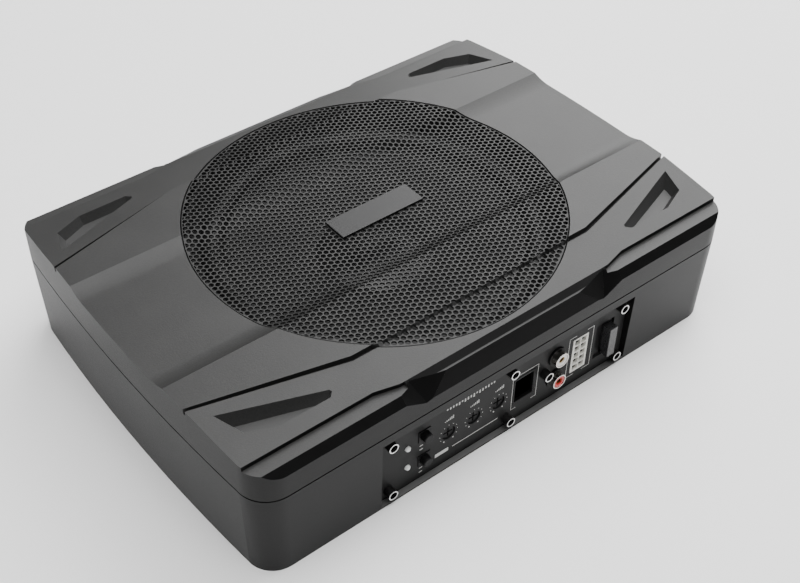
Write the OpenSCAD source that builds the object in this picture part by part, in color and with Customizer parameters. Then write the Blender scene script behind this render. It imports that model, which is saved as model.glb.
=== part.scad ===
// Powered under-seat subwoofer: a die-cast case with an up-firing 8 inch driver,
// a built-in amplifier and a recessed control panel on its long front side.
// +X runs along the case, the control panel faces -Y, +Z is up.
// The origin is the middle of the underside.

/* [Case] */
// Overall length, along X
case_length = 290; // [286:1:296]
// Overall depth, along Y
case_depth = 210; // [208:1:214]
// Overall height
case_height = 70; // [70:0.5:73]
// How far each end wall bows outwards at its middle
end_bow = 4.9; // [4:0.1:6]
// Radius of the four upright corners
corner_r = 15; // [13:0.5:17]
// How far the base walls lean in at the floor
base_draft = 1.3; // [0.8:0.1:1.6]
// Height of the joint between lid and base
seam_z = 48.8; // [48.6:0.1:49]
// Wall thickness of lid and base
wall = 2.8; // [2.4:0.1:3]
// Thickness of the floor
floor_t = 3; // [2.6:0.1:3.2]

/* [Lid top] */
// Depth of the channel that runs the length of the lid
channel_depth = 2.6; // [2:0.1:3]
// Half width of the channel at its upper crease
channel_edge = 40.4; // [39:0.2:42]
// Half width of the channel's flat floor
channel_floor = 29; // [27:0.5:31]
// Fall of the outer panels for each millimetre towards the long sides
panel_slope = 0.075; // [0.06:0.005:0.085]
// Height of the low strips along the long sides
strip_z = 64.7; // [64.4:0.1:65]
// Depth of the four pockets below the outer panels
pocket_depth = 4.9; // [4:0.1:5.2]

/* [Grille] */
// Radius of the grille
grille_r = 94.2; // [93.8:0.1:94.3]
// Gap between the grille and the lid
grille_gap = 0.4; // [0.3:0.1:0.6]
// Thickness of the grille sheet
sheet_t = 1; // [0.8:0.1:1.2]
// How far the grille lies below the lid's top
grille_drop = 0.3; // [0.2:0.1:0.5]

/* [Control panel] */
// Half width of the recess for the control panel
recess_half = 77.4; // [77:0.2:78]
// Depth of the recess
recess_depth = 4.2; // [4:0.1:4.4]
// Bottom of the recess
recess_low = 1.2; // [1.2:0.1:1.4]
// Top of the recess
recess_high = 43.4; // [43.2:0.1:43.8]
// Thickness of the control panel
panel_t = 1.5; // [1.2:0.1:1.5]
// Travel of the two push buttons
button_travel = 2; // [1.5:0.1:2.2]

/* [Driver] */
// Outer radius of the driver's flange
flange_r = 98; // [97:0.2:98.2]
// Radius of the voice coil former, inside
coil_r = 24.9; // [24.8:0.05:25]
// Largest travel of the cone each way
cone_travel = 5; // [3:0.5:5]

/* [Hidden] */
$fn = 64;
fine = 0.01;
big_fn = 720;

half_l = case_length / 2;
half_d = case_depth / 2;
bow_r = half_d * half_d / (2 * end_bow) + end_bow / 2;
bow_x = half_l - bow_r;
corner_y = half_d - corner_r;
corner_x = bow_x + sqrt(pow(bow_r - corner_r, 2) - corner_y * corner_y);
corner_a = atan2(corner_y, corner_x - bow_x);
seam_gap = 0.4;
base_top = seam_z - seam_gap;
lid_low = seam_z + seam_gap;

// Lid top
channel_z = case_height - channel_depth;
panel_y = 57;
panel_z = case_height - 0.25;
step_y = 75.2;
step_in = 73.6;
kink_x = 70.5;
groove_fall = 0.2475;
groove_end_x = 150;
groove_z = case_height - 2.7;
strip_y = 94.1;
mid_y = 97.1;
ledge_in = 100.4;
ledge_y = 101.3;
chamfer_z = 61.4;
scoop_z = 56.7;
scoop_x = 53;
tip_x = 60;
strip_x = 65;
opening_r = grille_r + grille_gap;
ledge_z = 63.5;
skirt_r = 98.6;
skirt_low = 53.5;
seat_r = 91;
pocket_floor = panel_top(76) - pocket_depth;
pocket_lean = 3.2;
pocket = [[134.6, 66.5], [130.4, 80.3], [115.8, 86.3], [90.2, 86.3], [87.6, 83.6], [88.3, 81.9]];

// Screws between lid and base
boss_r = 4.5;
boss_split = 14;
lid_boss = [[126, 89.5], [135.5, 34]];
mount_x = 118;
mount_y = 50;
mount_r = 1.65;
mount_depth = 6;

// Control panel, by layers from the front
panel_y0 = -half_d + recess_depth;
panel_y1 = panel_y0 + panel_t;
frame_y = panel_y1 + 2.5;
board_y = -88.6;
board_t = 1.6;
panel_screw = [[-71.4, 38.4], [-71.4, 6.4], [-0.3, 38.4], [-0.3, 6.3], [23, 22], [71.3, 38.4], [71.3, 6.4]];
screw_head_r = 2.6;
led_at = [-60.4, 26.8];
led_pitch = 12.7;
led_r = 1.5;
button_at = [-50.7, 29.5];
button_pitch = 16.1;
button_r = 2.6;
button_out = 3.6;
switch_w = 7;
knob_at = [-36.2, 20.5];
knob_pitch = 15.2;
knob_r = 3.7;
knob_hole_r = 3.9;
shaft_r = 1.5;
remote_box = [3.4, 12.3, 14, 17];
rca_at = [30.6, 28.7];
rca_pitch = 14.5;
rca_r = 4.15;
rca_neck = 3.85;
plug_box = [41.7, 9.6, 10.2, 22.2];
pin_pitch = 4.2;
holder_box = [57.7, 9.9, 11.6, 21.7];
holder_y0 = panel_y0 + 1.2;
holder_y1 = -82;
fuse_box = [63.05, 10.6, 5.1, 18.6];

// Boards
amp_z = 8;
amp_top = amp_z + board_t;
post_at = [[-68, -74], [0, -74], [66, -74], [122, -74], [124, 64], [72, 64]];

// Driver, by height
flange_z = 49.8;
flange_top = 52.5;
land_t = 0.8;
screw_ring = 94.8;
yoke_z = 6;
magnet_z = 12;
top_plate_z = 25;
basket_z = 31;
former_t = 0.3;
winding_t = 0.7;
cone_z = 41;
cone_edge_z = flange_top - 0.9;
roll_r = 5.5;
roll_x = 80.5;
shelf_z = 36.4;

function panel_top(y) = panel_z - panel_slope * (abs(y) - panel_y);

// Points of the channel's curved side, from its floor to its crease
channel_side = [for (i = [0:6]) let (t = i / 6)
    [channel_floor + (channel_edge - channel_floor) * t, channel_z + channel_depth * t * t]];

// Half of the lid's section across X, from the middle to beyond the rim
lid_section = concat([[0, channel_z]], channel_side,
    [[step_in, case_height], [step_y, panel_top(step_y)], [98, panel_top(98)]]);

// Inner points of a convex outline, each side moved in by d
function moved_in(p, d) = let (n = len(p)) [for (i = [0:n - 1])
    let (a = p[(i + n - 1) % n], b = p[i], c = p[(i + 1) % n],
        u = (b - a) / norm(b - a), v = (c - b) / norm(c - b),
        nu = [-u[1], u[0]], nv = [-v[1], v[0]])
    b + d * (nu + nv) / (1 + nu * nv)];

module along_x(x0, x1) {
    rotate([90, 0, 90]) translate([0, 0, x0]) linear_extrude(x1 - x0) children();
}

// Along Y at (x, z): children are drawn in X and Z, and run from y0 to y1
module along_y(y0, y1) {
    translate([0, y1, 0]) rotate([90, 0, 0]) linear_extrude(y1 - y0) children();
}

module rod(x, z, r, y0, y1) {
    translate([x, y1, z]) rotate([90, 0, 0]) cylinder(h = y1 - y0, r = r);
}

module box(x0, x1, y0, y1, z0, z1) {
    translate([x0, y0, z0]) cube([x1 - x0, y1 - y0, z1 - z0]);
}

// A box given as [x, z, width, height], from y0 to y1
module slab(b, y0, y1, grow = 0) {
    box(b[0] - grow, b[0] + b[2] + grow, y0, y1, b[1] - grow, b[1] + b[3] + grow);
}

module ring(r0, r1, z0, z1) {
    translate([0, 0, z0]) difference() {
        cylinder(h = z1 - z0, r = r1, $fn = 192);
        translate([0, 0, -1]) cylinder(h = z1 - z0 + 2, r = r0, $fn = 192);
    }
}

module quarter(sx, sy) {
    mirror([sx < 0 ? 1 : 0, 0, 0]) mirror([0, sy < 0 ? 1 : 0, 0]) children();
}

module quarters() {
    for (sx = [-1, 1], sy = [-1, 1]) quarter(sx, sy) children();
}

module sides() {
    for (sy = [-1, 1]) quarter(1, sy) children();
}

// What the rounded corner takes off, for an outline moved in by in0 below and in1 above
module corner_cut(z0, z1, in0, in1) {
    lean = (in1 - in0) / (z1 - z0);
    far = 40;
    translate([corner_x, corner_y, z0 - 1]) difference() {
        linear_extrude(z1 - z0 + 2)
            polygon([[0, 0], [far * cos(corner_a), far * sin(corner_a)], [far, far], [0, far]]);
        cylinder(h = z1 - z0 + 2, r1 = corner_r - in0 + lean, r2 = corner_r - in1 - lean);
    }
}

// The case's outline as a solid: straight long sides, bowed ends, round corners
module case_block(z0, z1, in0, in1) {
    difference() {
        intersection() {
            translate([bow_x, 0, z0])
                cylinder(h = z1 - z0, r1 = bow_r - in0, r2 = bow_r - in1, $fn = big_fn);
            translate([-bow_x, 0, z0])
                cylinder(h = z1 - z0, r1 = bow_r - in0, r2 = bow_r - in1, $fn = big_fn);
            along_x(-half_l, half_l)
                polygon([[in0 - half_d, z0], [half_d - in0, z0], [half_d - in1, z1], [in1 - half_d, z1]]);
        }
        quarters() corner_cut(z0, z1, in0, in1);
    }
}

function base_in(z) = base_draft * (1 - z / seam_z);

module channel_cut() {
    along_x(-half_l - 1, half_l + 1) polygon(concat(
        [for (i = [6:-1:0]) [-channel_side[i][0], channel_side[i][1]]], channel_side,
        [[channel_edge, case_height + 1], [-channel_edge, case_height + 1]]));
}

module panel_cut() {
    edge = step_y - groove_fall * (groove_end_x - kink_x);
    sides() intersection() {
        linear_extrude(case_height + 1) polygon([[-groove_end_x, edge], [-kink_x, step_y],
            [kink_x, step_y], [groove_end_x, edge], [groove_end_x, half_d + 1], [-groove_end_x, half_d + 1]]);
        along_x(-half_l - 1, half_l + 1) polygon([[50, panel_top(50)], [half_d + 2, panel_top(half_d + 2)],
            [half_d + 2, case_height + 2], [50, case_height + 2]]);
    }
}

module groove_cut() {
    run = groove_end_x - kink_x;
    translate([0, 0, groove_z]) linear_extrude(4) polygon([[52, step_in], [kink_x, step_in],
        [groove_end_x, step_in - groove_fall * run], [groove_end_x, step_y - groove_fall * run],
        [kink_x, step_y], [52, step_y]]);
}

module strip_cut() {
    translate([0, 0, strip_z]) linear_extrude(8) polygon([[tip_x, mid_y], [62.5, 97], [74.5, strip_y],
        [half_l + 1, strip_y], [half_l + 1, half_d + 1], [tip_x, half_d + 1]]);
    along_x(strip_x, half_l + 1) polygon([[ledge_y, strip_z],
        [half_d + 2, strip_z - (strip_z - chamfer_z) * (half_d + 2 - ledge_y) / (half_d - ledge_y)],
        [half_d + 2, strip_z + 1], [ledge_y, strip_z + 1]]);
}

module middle_cut() {
    rise = (panel_top(mid_y) - strip_z - 0.25) / (ledge_in - mid_y);
    fall = (strip_z - scoop_z) / (half_d - ledge_y);
    sides() {
        along_x(-tip_x, tip_x) polygon([[mid_y - 2, panel_top(mid_y) + 2 * rise], [ledge_in, strip_z + 0.25],
            [ledge_y, strip_z], [half_d + 2, strip_z], [half_d + 2, case_height], [mid_y - 2, case_height]]);
        along_x(-scoop_x, scoop_x) polygon([[ledge_y, strip_z], [half_d + 1, strip_z - fall * (half_d + 1 - ledge_y)],
            [half_d + 1, case_height], [ledge_y, case_height]]);
    }
}

// Where the deep middle scoop runs out into the shallow chamfer beside it
module scoop_end_cut() {
    y1 = half_d + 1;
    reach = (y1 - ledge_y) / (half_d - ledge_y);
    hull() for (p = [[40, ledge_y, strip_z], [58.5, 97.6, panel_top(97.6) - 0.25], [strip_x, ledge_y, strip_z],
        [strip_x, y1, strip_z - (strip_z - chamfer_z) * reach], [scoop_x, y1, strip_z - (strip_z - scoop_z) * reach]])
        for (z = [p[2], case_height + 1]) translate([p[0], p[1], z]) cube(fine, center = true);
}

// A pocket with leaning walls and a level floor
module pocket_cut() {
    foot = moved_in(pocket, pocket_lean);
    rise = case_height + 1 - pocket_floor;
    mouth = moved_in(pocket, -pocket_lean * (rise - pocket_depth) / pocket_depth);
    n = len(pocket);
    polyhedron(
        points = concat([for (p = foot) [p[0], p[1], pocket_floor]],
            [for (p = mouth) [p[0], p[1], case_height + 1]]),
        faces = concat([[for (i = [0:n - 1]) i]], [[for (i = [n - 1:-1:0]) n + i]],
            [for (i = [0:n - 1]) [i, n + i, n + (i + 1) % n, (i + 1) % n]]));
}

module lid_cavity() {
    inner = [[0, 64.4], [33, 64.4], [40, 66], [50, 66], [56, 65.2], [76, 64.6], [93, 62], [97.5, 59.5],
        [101.5, 53.5], [half_d - wall, 53], [half_d - wall, seam_z - 2]];
    difference() {
        intersection() {
            case_block(seam_z - 1, case_height, wall, wall);
            along_x(-half_l, half_l) polygon(concat(inner,
                [for (i = [len(inner) - 1:-1:1]) [-inner[i][0], inner[i][1]]]));
        }
        quarters() box(83, half_l, 61, 92, pocket_floor - 2.8, case_height);
    }
}

module lid() {
    color("dimgray") difference() {
        union() {
            difference() {
                case_block(lid_low, case_height, 0, 0);
                lid_cavity();
            }
            translate([0, 0, skirt_low]) cylinder(h = case_height - skirt_low, r = skirt_r, $fn = 192);
            quarters() for (p = lid_boss)
                translate([p[0], p[1], boss_split]) cylinder(h = 65.5 - boss_split, r = boss_r);
        }
        channel_cut();
        panel_cut();
        quarters() {
            groove_cut();
            strip_cut();
            scoop_end_cut();
            pocket_cut();
            for (p = lid_boss)
                translate([p[0], p[1], boss_split - 1]) cylinder(h = 13, r = 1.3);
        }
        middle_cut();
        translate([0, 0, ledge_z]) cylinder(h = 10, r = opening_r, $fn = 192);
        translate([0, 0, skirt_low - 1]) cylinder(h = 20, r = seat_r, $fn = 192);
        driver_holes(skirt_low - 1, 62, 1.7);
    }
}

module driver_holes(z0, z1, r) {
    for (a = [22.5:45:360]) rotate(a) translate([screw_ring, 0, z0]) cylinder(h = z1 - z0, r = r);
}

module base_shell() {
    side_y1 = frame_y;
    color("#3c3c3c") difference() {
        union() {
            difference() {
                case_block(0, base_top, base_in(0), base_in(base_top));
                case_block(floor_t, base_top + 1, wall + base_in(floor_t), wall + base_in(base_top + 1));
            }
            intersection() {
                case_block(0, base_top, base_in(0), base_in(base_top));
                box(-recess_half - 2.4, recess_half + 2.4, -half_d, side_y1, 0, recess_high + 2.4);
            }
            for (p = panel_screw) if (p != panel_screw[4]) rod(p[0], p[1], 3.4, side_y1 - fine, -91);
            quarters() {
                for (p = lid_boss)
                    translate([p[0], p[1], fine]) cylinder(h = boss_split - 0.2 - fine, r = boss_r);
                translate([mount_x, mount_y, fine]) cylinder(h = mount_depth + 1.4 - fine, r = 5);
            }
            for (p = post_at) translate([p[0], p[1], 1]) cylinder(h = amp_z - 1, r = 3);
        }
        for (p = post_at) translate([p[0], p[1], 3.4]) cylinder(h = 8, r = 1.05);
        box(-recess_half, recess_half, -half_d - 1, panel_y1, recess_low, recess_high);
        difference() {
            box(-recess_half + 9.4, recess_half - 9.4, panel_y1 - 1, frame_y + 1, 3.6, recess_high - 2.4);
            for (p = [panel_screw[2], panel_screw[3]]) {
                box(p[0] - 4, p[0] + 4, panel_y1 - 2, frame_y + 2, p[1] > 20 ? p[1] - 4 : 0, p[1] > 20 ? 50 : p[1] + 4);
            }
        }
        slab(holder_box, panel_y1 - 1, frame_y + 1, 0.5);
        for (p = panel_screw) if (p != panel_screw[4]) rod(p[0], p[1], 1.3, panel_y1 - 1, -91.5);
        quarters() {
            for (p = lid_boss) translate([p[0], p[1], 0]) {
                translate([0, 0, -1]) cylinder(h = boss_split + 1, r = 1.75);
                translate([0, 0, -1]) cylinder(h = 5, r = 3.6);
            }
            translate([mount_x, mount_y, -1]) cylinder(h = mount_depth + 1, r = mount_r);
        }
    }
}

module seam_gasket() {
    color("#111111") difference() {
        case_block(base_top, lid_low, 0.7, 0.7);
        case_block(base_top - 1, lid_low + 1, 2.3, 2.3);
    }
}

// The lid's section moved down by d, closed along z = low
module section_below(d, low) {
    polygon(concat([for (p = lid_section) [p[0], p[1] - d]],
        [[98, low]], [[-98, low]],
        [for (i = [len(lid_section) - 1:-1:1]) [-lid_section[i][0], lid_section[i][1] - d]]));
}

module grille() {
    post_x = 18;
    color("#2b2b2b") difference() {
        intersection() {
            along_x(-grille_r - 1, grille_r + 1) section_below(grille_drop, 65);
            translate([0, 0, 60]) cylinder(h = 20, r = grille_r, $fn = 192);
        }
        intersection() {
            along_x(-grille_r, grille_r) section_below(grille_drop + sheet_t, 64);
            translate([0, 0, 60]) cylinder(h = 20, r = grille_r - 1, $fn = 192);
        }
        for (s = [-1, 1]) translate([s * post_x, 0.6, 60]) cylinder(h = 12, r = 1.2);
    }
}

module grille_seal() {
    color("#161616") ring(91.4, opening_r - 0.3, ledge_z, 65);
}

module badge() {
    top = channel_z - grille_drop;
    color("#4a4a4a") {
        translate([-24.6, -6.7, top]) cube([49.2, 14.6, 1.3]);
        for (s = [-1, 1]) translate([s * 18, 0.6, 62.4]) cylinder(h = top - 62.4 + fine, r = 1.1);
    }
}

module badge_clips() {
    top = channel_z - grille_drop - sheet_t;
    color("silver") for (s = [-1, 1]) translate([s * 18, 0.6, top - 0.9]) difference() {
        cylinder(h = 0.9, r = 3.2);
        translate([0, 0, -1]) cylinder(h = 3, r = 1.12);
    }
}

module control_panel() {
    color("#2f2f2f") difference() {
        box(-recess_half + 0.2, recess_half - 0.2, panel_y0, panel_y1, recess_low + 0.2, recess_high - 0.2);
        for (p = panel_screw) rod(p[0], p[1], 1.6, panel_y0 - 1, panel_y1 + 1);
        for (i = [0:1]) {
            rod(led_at[0], led_at[1] - i * led_pitch, led_r + 0.1, panel_y0 - 1, panel_y1 + 1);
            box(button_at[0] - switch_w / 2 - 0.1, button_at[0] + switch_w / 2 + 0.1, panel_y0 - 1, panel_y1 + 1,
                button_at[1] - i * button_pitch - switch_w / 2 - 0.1, button_at[1] - i * button_pitch + switch_w / 2 + 0.1);
            rod(rca_at[0], rca_at[1] - i * rca_pitch, 5.4, panel_y0 - 1, panel_y1 + 1);
        }
        for (i = [0:2]) rod(knob_at[0] + i * knob_pitch, knob_at[1], knob_hole_r, panel_y0 - 1, panel_y1 + 1);
        for (b = [remote_box, plug_box, holder_box]) slab(b, panel_y0 - 1, panel_y1 + 1, 0.2);
    }
}

module panel_screws() {
    color("#1a1a1a") for (p = panel_screw) translate([p[0], panel_y0, p[1]]) rotate([90, 0, 0]) difference() {
        union() {
            cylinder(h = recess_depth, r = screw_head_r);
            translate([0, 0, -8]) cylinder(h = 8 + fine, r = 1.25);
        }
        translate([0, 0, recess_depth - 0.9]) cylinder(h = 2, r = 2);
        translate([0, 0, recess_depth - 3]) cylinder(h = 3, r = 1.7, $fn = 6);
    }
}

module led(drop) {
    color("white") translate([led_at[0], 0, led_at[1] - drop]) {
        rod(0, 0, led_r, panel_y0, -96);
        translate([0, panel_y0, 0]) intersection() {
            sphere(r = led_r);
            translate([0, -led_r, 0]) cube(2 * led_r, center = true);
        }
        rod(0, 0, 1.9, -96.9, -96);
        for (s = [-1, 1]) rod(s * 0.9, 0, 0.25, -96, board_y);
    }
}

module power_led() led(0);
module protect_led() led(led_pitch);

module button(drop) {
    front = panel_y0 - button_out;
    color("#141414") translate([button_at[0], 0, button_at[1] - drop]) {
        rod(0, 0, button_r, front + 0.4, -98);
        translate([0, front + 0.4, 0]) rotate([90, 0, 0]) cylinder(h = 0.4, r1 = button_r, r2 = button_r - 0.4);
        rod(0, 0, 1.2, -98, -92.5);
    }
}

module power_button() button(0);
module auto_button() button(button_pitch);

module push_switch(drop) {
    h = switch_w / 2;
    color("#0d0d0d") translate([button_at[0], 0, button_at[1] - drop]) difference() {
        box(-h, h, panel_y0 - 0.4, board_y - 0.1, -h, h);
        rod(0, 0, button_r + 0.15, panel_y0 - 2, -94.5);
        rod(0, 0, 1.25, -95, -89.8);
    }
}

module power_switch() push_switch(0);
module auto_switch() push_switch(button_pitch);

module knob(i) {
    color("#0f0f0f") translate([knob_at[0] + i * knob_pitch, 0, knob_at[1]]) difference() {
        union() {
            rod(0, 0, knob_r, panel_y0 + 0.7, panel_y1 + 0.2);
            rod(0, 0, shaft_r, panel_y1, -93);
        }
        box(-0.4, 0.4, panel_y0, panel_y0 + 1.4, -2.6, knob_r + 1);
        box(-2.6, 2.6, panel_y0, panel_y0 + 1.4, -0.4, 0.4);
    }
}

module gain_knob() knob(0);
module crossover_knob() knob(1);
module bass_knob() knob(2);

module pot(i) {
    color("#23382a") translate([knob_at[0] + i * knob_pitch, 0, knob_at[1]]) difference() {
        box(-5, 5, panel_y1 + 0.6, board_y - 0.1, -5.5, 5.5);
        rod(0, 0, shaft_r + 0.05, panel_y1, -92.5);
    }
}

module gain_pot() pot(0);
module crossover_pot() pot(1);
module bass_pot() pot(2);

module remote_socket() {
    b = remote_box;
    color("#101010") difference() {
        slab(b, panel_y0 - 0.2, board_y - 0.1);
        box(b[0] + 1, b[0] + b[2] - 1.4, panel_y0 - 1, -90, b[1] + 1.4, b[1] + b[3] - 1.4);
    }
}

module remote_contacts() {
    b = remote_box;
    color("gold") for (i = [0:7])
        box(b[0] + 1.05, b[0] + 2, -97, -90.05, b[1] + 4.2 + i * 1.2, b[1] + 4.7 + i * 1.2);
}

module rca_block() {
    color("#0e0e0e") difference() {
        union() {
            box(18.8, 40.8, panel_y1 + 0.1, board_y - 0.1, 7.5, 36);
            for (i = [0:1]) rod(rca_at[0], rca_at[1] - i * rca_pitch, 5.2, panel_y0 - 1, panel_y1 + 0.2);
        }
        for (i = [0:1]) rod(rca_at[0], rca_at[1] - i * rca_pitch, rca_neck + 0.05, -110, -93);
        rod(23, 22, 1.3, -110, -91);
    }
}

module rca_sleeves() {
    color("silver") for (i = [0:1]) translate([rca_at[0], 0, rca_at[1] - i * rca_pitch]) difference() {
        union() {
            rod(0, 0, rca_r, -half_d, panel_y0 - 1);
            rod(0, 0, rca_neck, -half_d, -93);
        }
        rod(0, 0, rca_neck - 0.4, -half_d - 1, -92);
    }
}

module rca_insert(drop) {
    translate([rca_at[0], 0, rca_at[1] - drop]) difference() {
        rod(0, 0, rca_neck - 0.45, -half_d + 0.3, -93.5);
        rod(0, 0, 1.9, -half_d - 1, -95);
    }
}

module rca_insert_white() color("white") rca_insert(0);
module rca_insert_red() color("#c01818") rca_insert(rca_pitch);

module rca_contacts() {
    color("gold") for (i = [0:1]) difference() {
        rod(rca_at[0], rca_at[1] - i * rca_pitch, 1.85, -half_d + 1, -95);
        rod(rca_at[0], rca_at[1] - i * rca_pitch, 1.55, -half_d - 1, -96);
    }
}

module pin_places() {
    b = plug_box;
    for (i = [0:1], j = [0:4])
        translate([b[0] + b[2] / 2 + (i - 0.5) * pin_pitch, 0, b[1] + b[3] / 2 + (j - 2) * pin_pitch]) children();
}

module power_connector() {
    color("ivory") difference() {
        slab(plug_box, panel_y0 - 0.1, board_y - 0.1);
        pin_places() {
            box(-1.7, 1.7, panel_y0 - 1, -96.6, -1.7, 1.7);
            box(-0.55, 0.55, -97, -90, -0.55, 0.55);
        }
    }
}

module connector_pins() {
    color("#c9a75a") pin_places() box(-0.5, 0.5, -98.6, -90, -0.5, 0.5);
}

module fuse_holder() {
    f = fuse_box;
    color("#121212") difference() {
        slab(holder_box, holder_y0, holder_y1);
        slab(f, holder_y0 - 1, -91.5, 0.2);
        for (s = [0, 1]) box(f[0] + 1.75, f[0] + 3.35, -92, -83,
            f[1] + 1.2 + s * 10.2, f[1] + 7.2 + s * 10.2);
    }
}

module fuse_body() {
    f = fuse_box;
    color("#7d7d7d") {
        box(f[0], f[0] + f[2], -half_d, -100.4, f[1], f[1] + f[3]);
        box(f[0] + 0.5, f[0] + f[2] - 0.5, -100.4 - fine, -92, f[1] + 0.8, f[1] + f[3] - 0.8);
    }
}

module fuse_blades() {
    f = fuse_box;
    color("silver") for (s = [0, 1])
        box(f[0] + 2.15, f[0] + 2.95, -92, -84.5, f[1] + 1.6 + s * 10.2, f[1] + 6.8 + s * 10.2);
}

module control_board() {
    color("darkgreen") difference() {
        box(-68, 76, board_y, board_y + board_t, 5, 41);
        slab(holder_box, board_y - 1, board_y + board_t + 1, 0.3);
    }
}

module board_screws() {
    color("#b8b8b8") for (p = post_at) translate([p[0], p[1], amp_top]) {
        cylinder(h = 1.8, r = 2.4);
        translate([0, 0, -5.6]) cylinder(h = 5.6 + fine, r = 1);
    }
}

// The header that joins the two boards
module board_link() {
    color("#e8e4d8") box(-58, -38, board_y + board_t, -80, amp_top, amp_top + 6);
}

module amp_board() {
    color("darkgreen") difference() {
        translate([0, 0, amp_z]) linear_extrude(board_t) union() {
            translate([-74, -86.5]) square([190, 24.5]);
            translate([66, -80]) square([64.8, 150]);
        }
        for (p = post_at) translate([p[0], p[1], 0]) cylinder(h = 20, r = 1.5);
    }
}

module can(x, y, r, h) {
    translate([x, y, amp_top]) {
        cylinder(h = h - 1, r = r);
        translate([0, 0, h - 1]) cylinder(h = 1, r = r - 0.8);
    }
}

module capacitors() {
    color("#20264a") {
        can(104, -66, 9, 26);
        can(104, -46, 9, 26);
        can(85, -72, 6, 18);
        can(118, 52, 6.5, 20);
        can(103, 60, 6.5, 20);
        can(88, 56, 5, 14);
    }
}

module toroid_core() {
    color("#4d6b3a") translate([100, 6, 12]) difference() {
        cylinder(h = 11, r = 16);
        translate([0, 0, -1]) cylinder(h = 13, r = 8.5);
    }
}

// Copper turns around the core, laid as flat bands
module toroid_winding() {
    color("#b5652b") translate([100, 6, 12]) for (a = [0:30:330]) rotate(a) {
        box(16, 17.2, -2, 2, -1.2, 12.2);
        box(7.1, 8.3, -1.4, 1.4, -1.2, 12.2);
        box(7.1, 17.2, -1.4, 1.4, 11, 12.2);
        box(7.1, 17.2, -1.4, 1.4, -1.2, 0);
    }
}

module transistors() {
    color("#181818") for (y = [-19.5, -6.5, 6.5, 19.5]) {
        box(128.6, 132.9, y - 5, y + 5, 13, 28);
        for (i = [-1, 0, 1]) box(130, 130.6, y + i * 2.54 - 0.4, y + i * 2.54 + 0.4, amp_top, 13 + fine);
    }
}

module heat_bar() {
    color("silver") box(133, 139.4, -27, 27, floor_t, 30);
}

module clamp_bar() {
    color("gray") difference() {
        box(125.6, 128.5, -26, 26, 17, 25);
        for (y = [-13, 0, 13]) translate([120, y, 21]) rotate([0, 90, 0]) cylinder(h = 12, r = 1.3);
    }
}

module clamp_screws() {
    color("#8c8c8c") for (y = [-13, 0, 13]) translate([125.6, y, 21]) rotate([0, 90, 0]) {
        translate([0, 0, -2]) cylinder(h = 2, r = 2.4);
        cylinder(h = 7.4, r = 1.2);
    }
}

module lid_screws() {
    color("#1a1a1a") quarters() for (p = lid_boss) translate([p[0], p[1], 0]) difference() {
        union() {
            translate([0, 0, 1.2]) cylinder(h = 2.8, r = 3);
            translate([0, 0, 4 - fine]) cylinder(h = 20, r = 1.25);
        }
        translate([0, 0, 0.5]) cylinder(h = 2.2, r = 1.45, $fn = 6);
    }
}

module driver_screws() {
    color("#8c8c8c") for (a = [22.5:45:360]) rotate(a) translate([screw_ring, 0, 0]) {
        translate([0, 0, flange_z - 2.2]) cylinder(h = 2.2, r = 3.1);
        translate([0, 0, flange_z - fine]) cylinder(h = 11, r = 1.6);
    }
}

module basket() {
    color("#3a3a3a") difference() {
        rotate_extrude($fn = 192) polygon([[40, basket_z], [54.5, basket_z], [54.5, 34], [60.5, 34],
            [89, flange_z], [flange_r, flange_z], [flange_r, flange_top], [85.5, flange_top], [85.5, 51],
            [59.3, shelf_z], [51, shelf_z], [51, 34.4], [52.5, 33.4], [52.5, 33], [40, 33]]);
        driver_holes(flange_z - 1, flange_top + 1, 2.1);
        for (a = [0:60:300]) rotate(a) intersection() {
            ring(62.5, 85, 33, flange_z - 0.4);
            linear_extrude(60) polygon([[0, 0], [100, -34], [100, 34]]);
        }
    }
}

module driver_gasket() {
    color("#151515") difference() {
        ring(seat_r + 0.2, flange_r, flange_top, skirt_low);
        driver_holes(flange_top - 1, skirt_low + 1, 2.1);
    }
}

module magnet() {
    color("#2a2a2a") ring(30, 55, magnet_z, top_plate_z);
}

module top_plate() {
    color("#9a9a90") ring(coil_r + 1.5, 52, top_plate_z, basket_z);
}

module yoke() {
    color("#8f8f85") difference() {
        union() {
            translate([0, 0, yoke_z]) cylinder(h = magnet_z - yoke_z, r = 50, $fn = 128);
            translate([0, 0, yoke_z]) cylinder(h = basket_z - yoke_z, r = coil_r - 0.6, $fn = 128);
        }
        translate([0, 0, yoke_z - 1]) cylinder(h = 40, r = 8);
    }
}

module surround() {
    base = flange_top;
    color("#0c0c0c") rotate_extrude($fn = 192) {
        translate([roll_x + roll_r, base]) square([5, land_t]);
        translate([roll_x - roll_r - 3, base]) square([3, land_t]);
        translate([roll_x, base]) intersection() {
            difference() {
                circle(r = roll_r + 0.6);
                circle(r = roll_r - 0.3);
            }
            translate([-10, 0]) square([20, 10]);
        }
    }
}

module spider() {
    r0 = coil_r + former_t;
    color("#c9a06a") rotate_extrude($fn = 192) {
        translate([50.6, shelf_z]) square([7.4, land_t]);
        translate([r0, shelf_z]) square([3, land_t]);
        for (i = [0:3]) translate([r0 + 5.8 + i * 5.7, shelf_z]) intersection() {
            difference() {
                circle(r = 2.9);
                circle(r = 2.2);
            }
            translate([-4, 0]) square([8, 4]);
        }
    }
}

module cone() {
    r0 = coil_r + former_t + 0.05;
    color("#1b1b1b") rotate_extrude($fn = 192) polygon([[r0, cone_z], [27, cone_z], [72.5, cone_edge_z],
        [75, cone_edge_z], [75, cone_edge_z + 0.9], [72.2, cone_edge_z + 0.9], [26.8, cone_z + 1.1], [r0, cone_z + 1.1]]);
}

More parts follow.
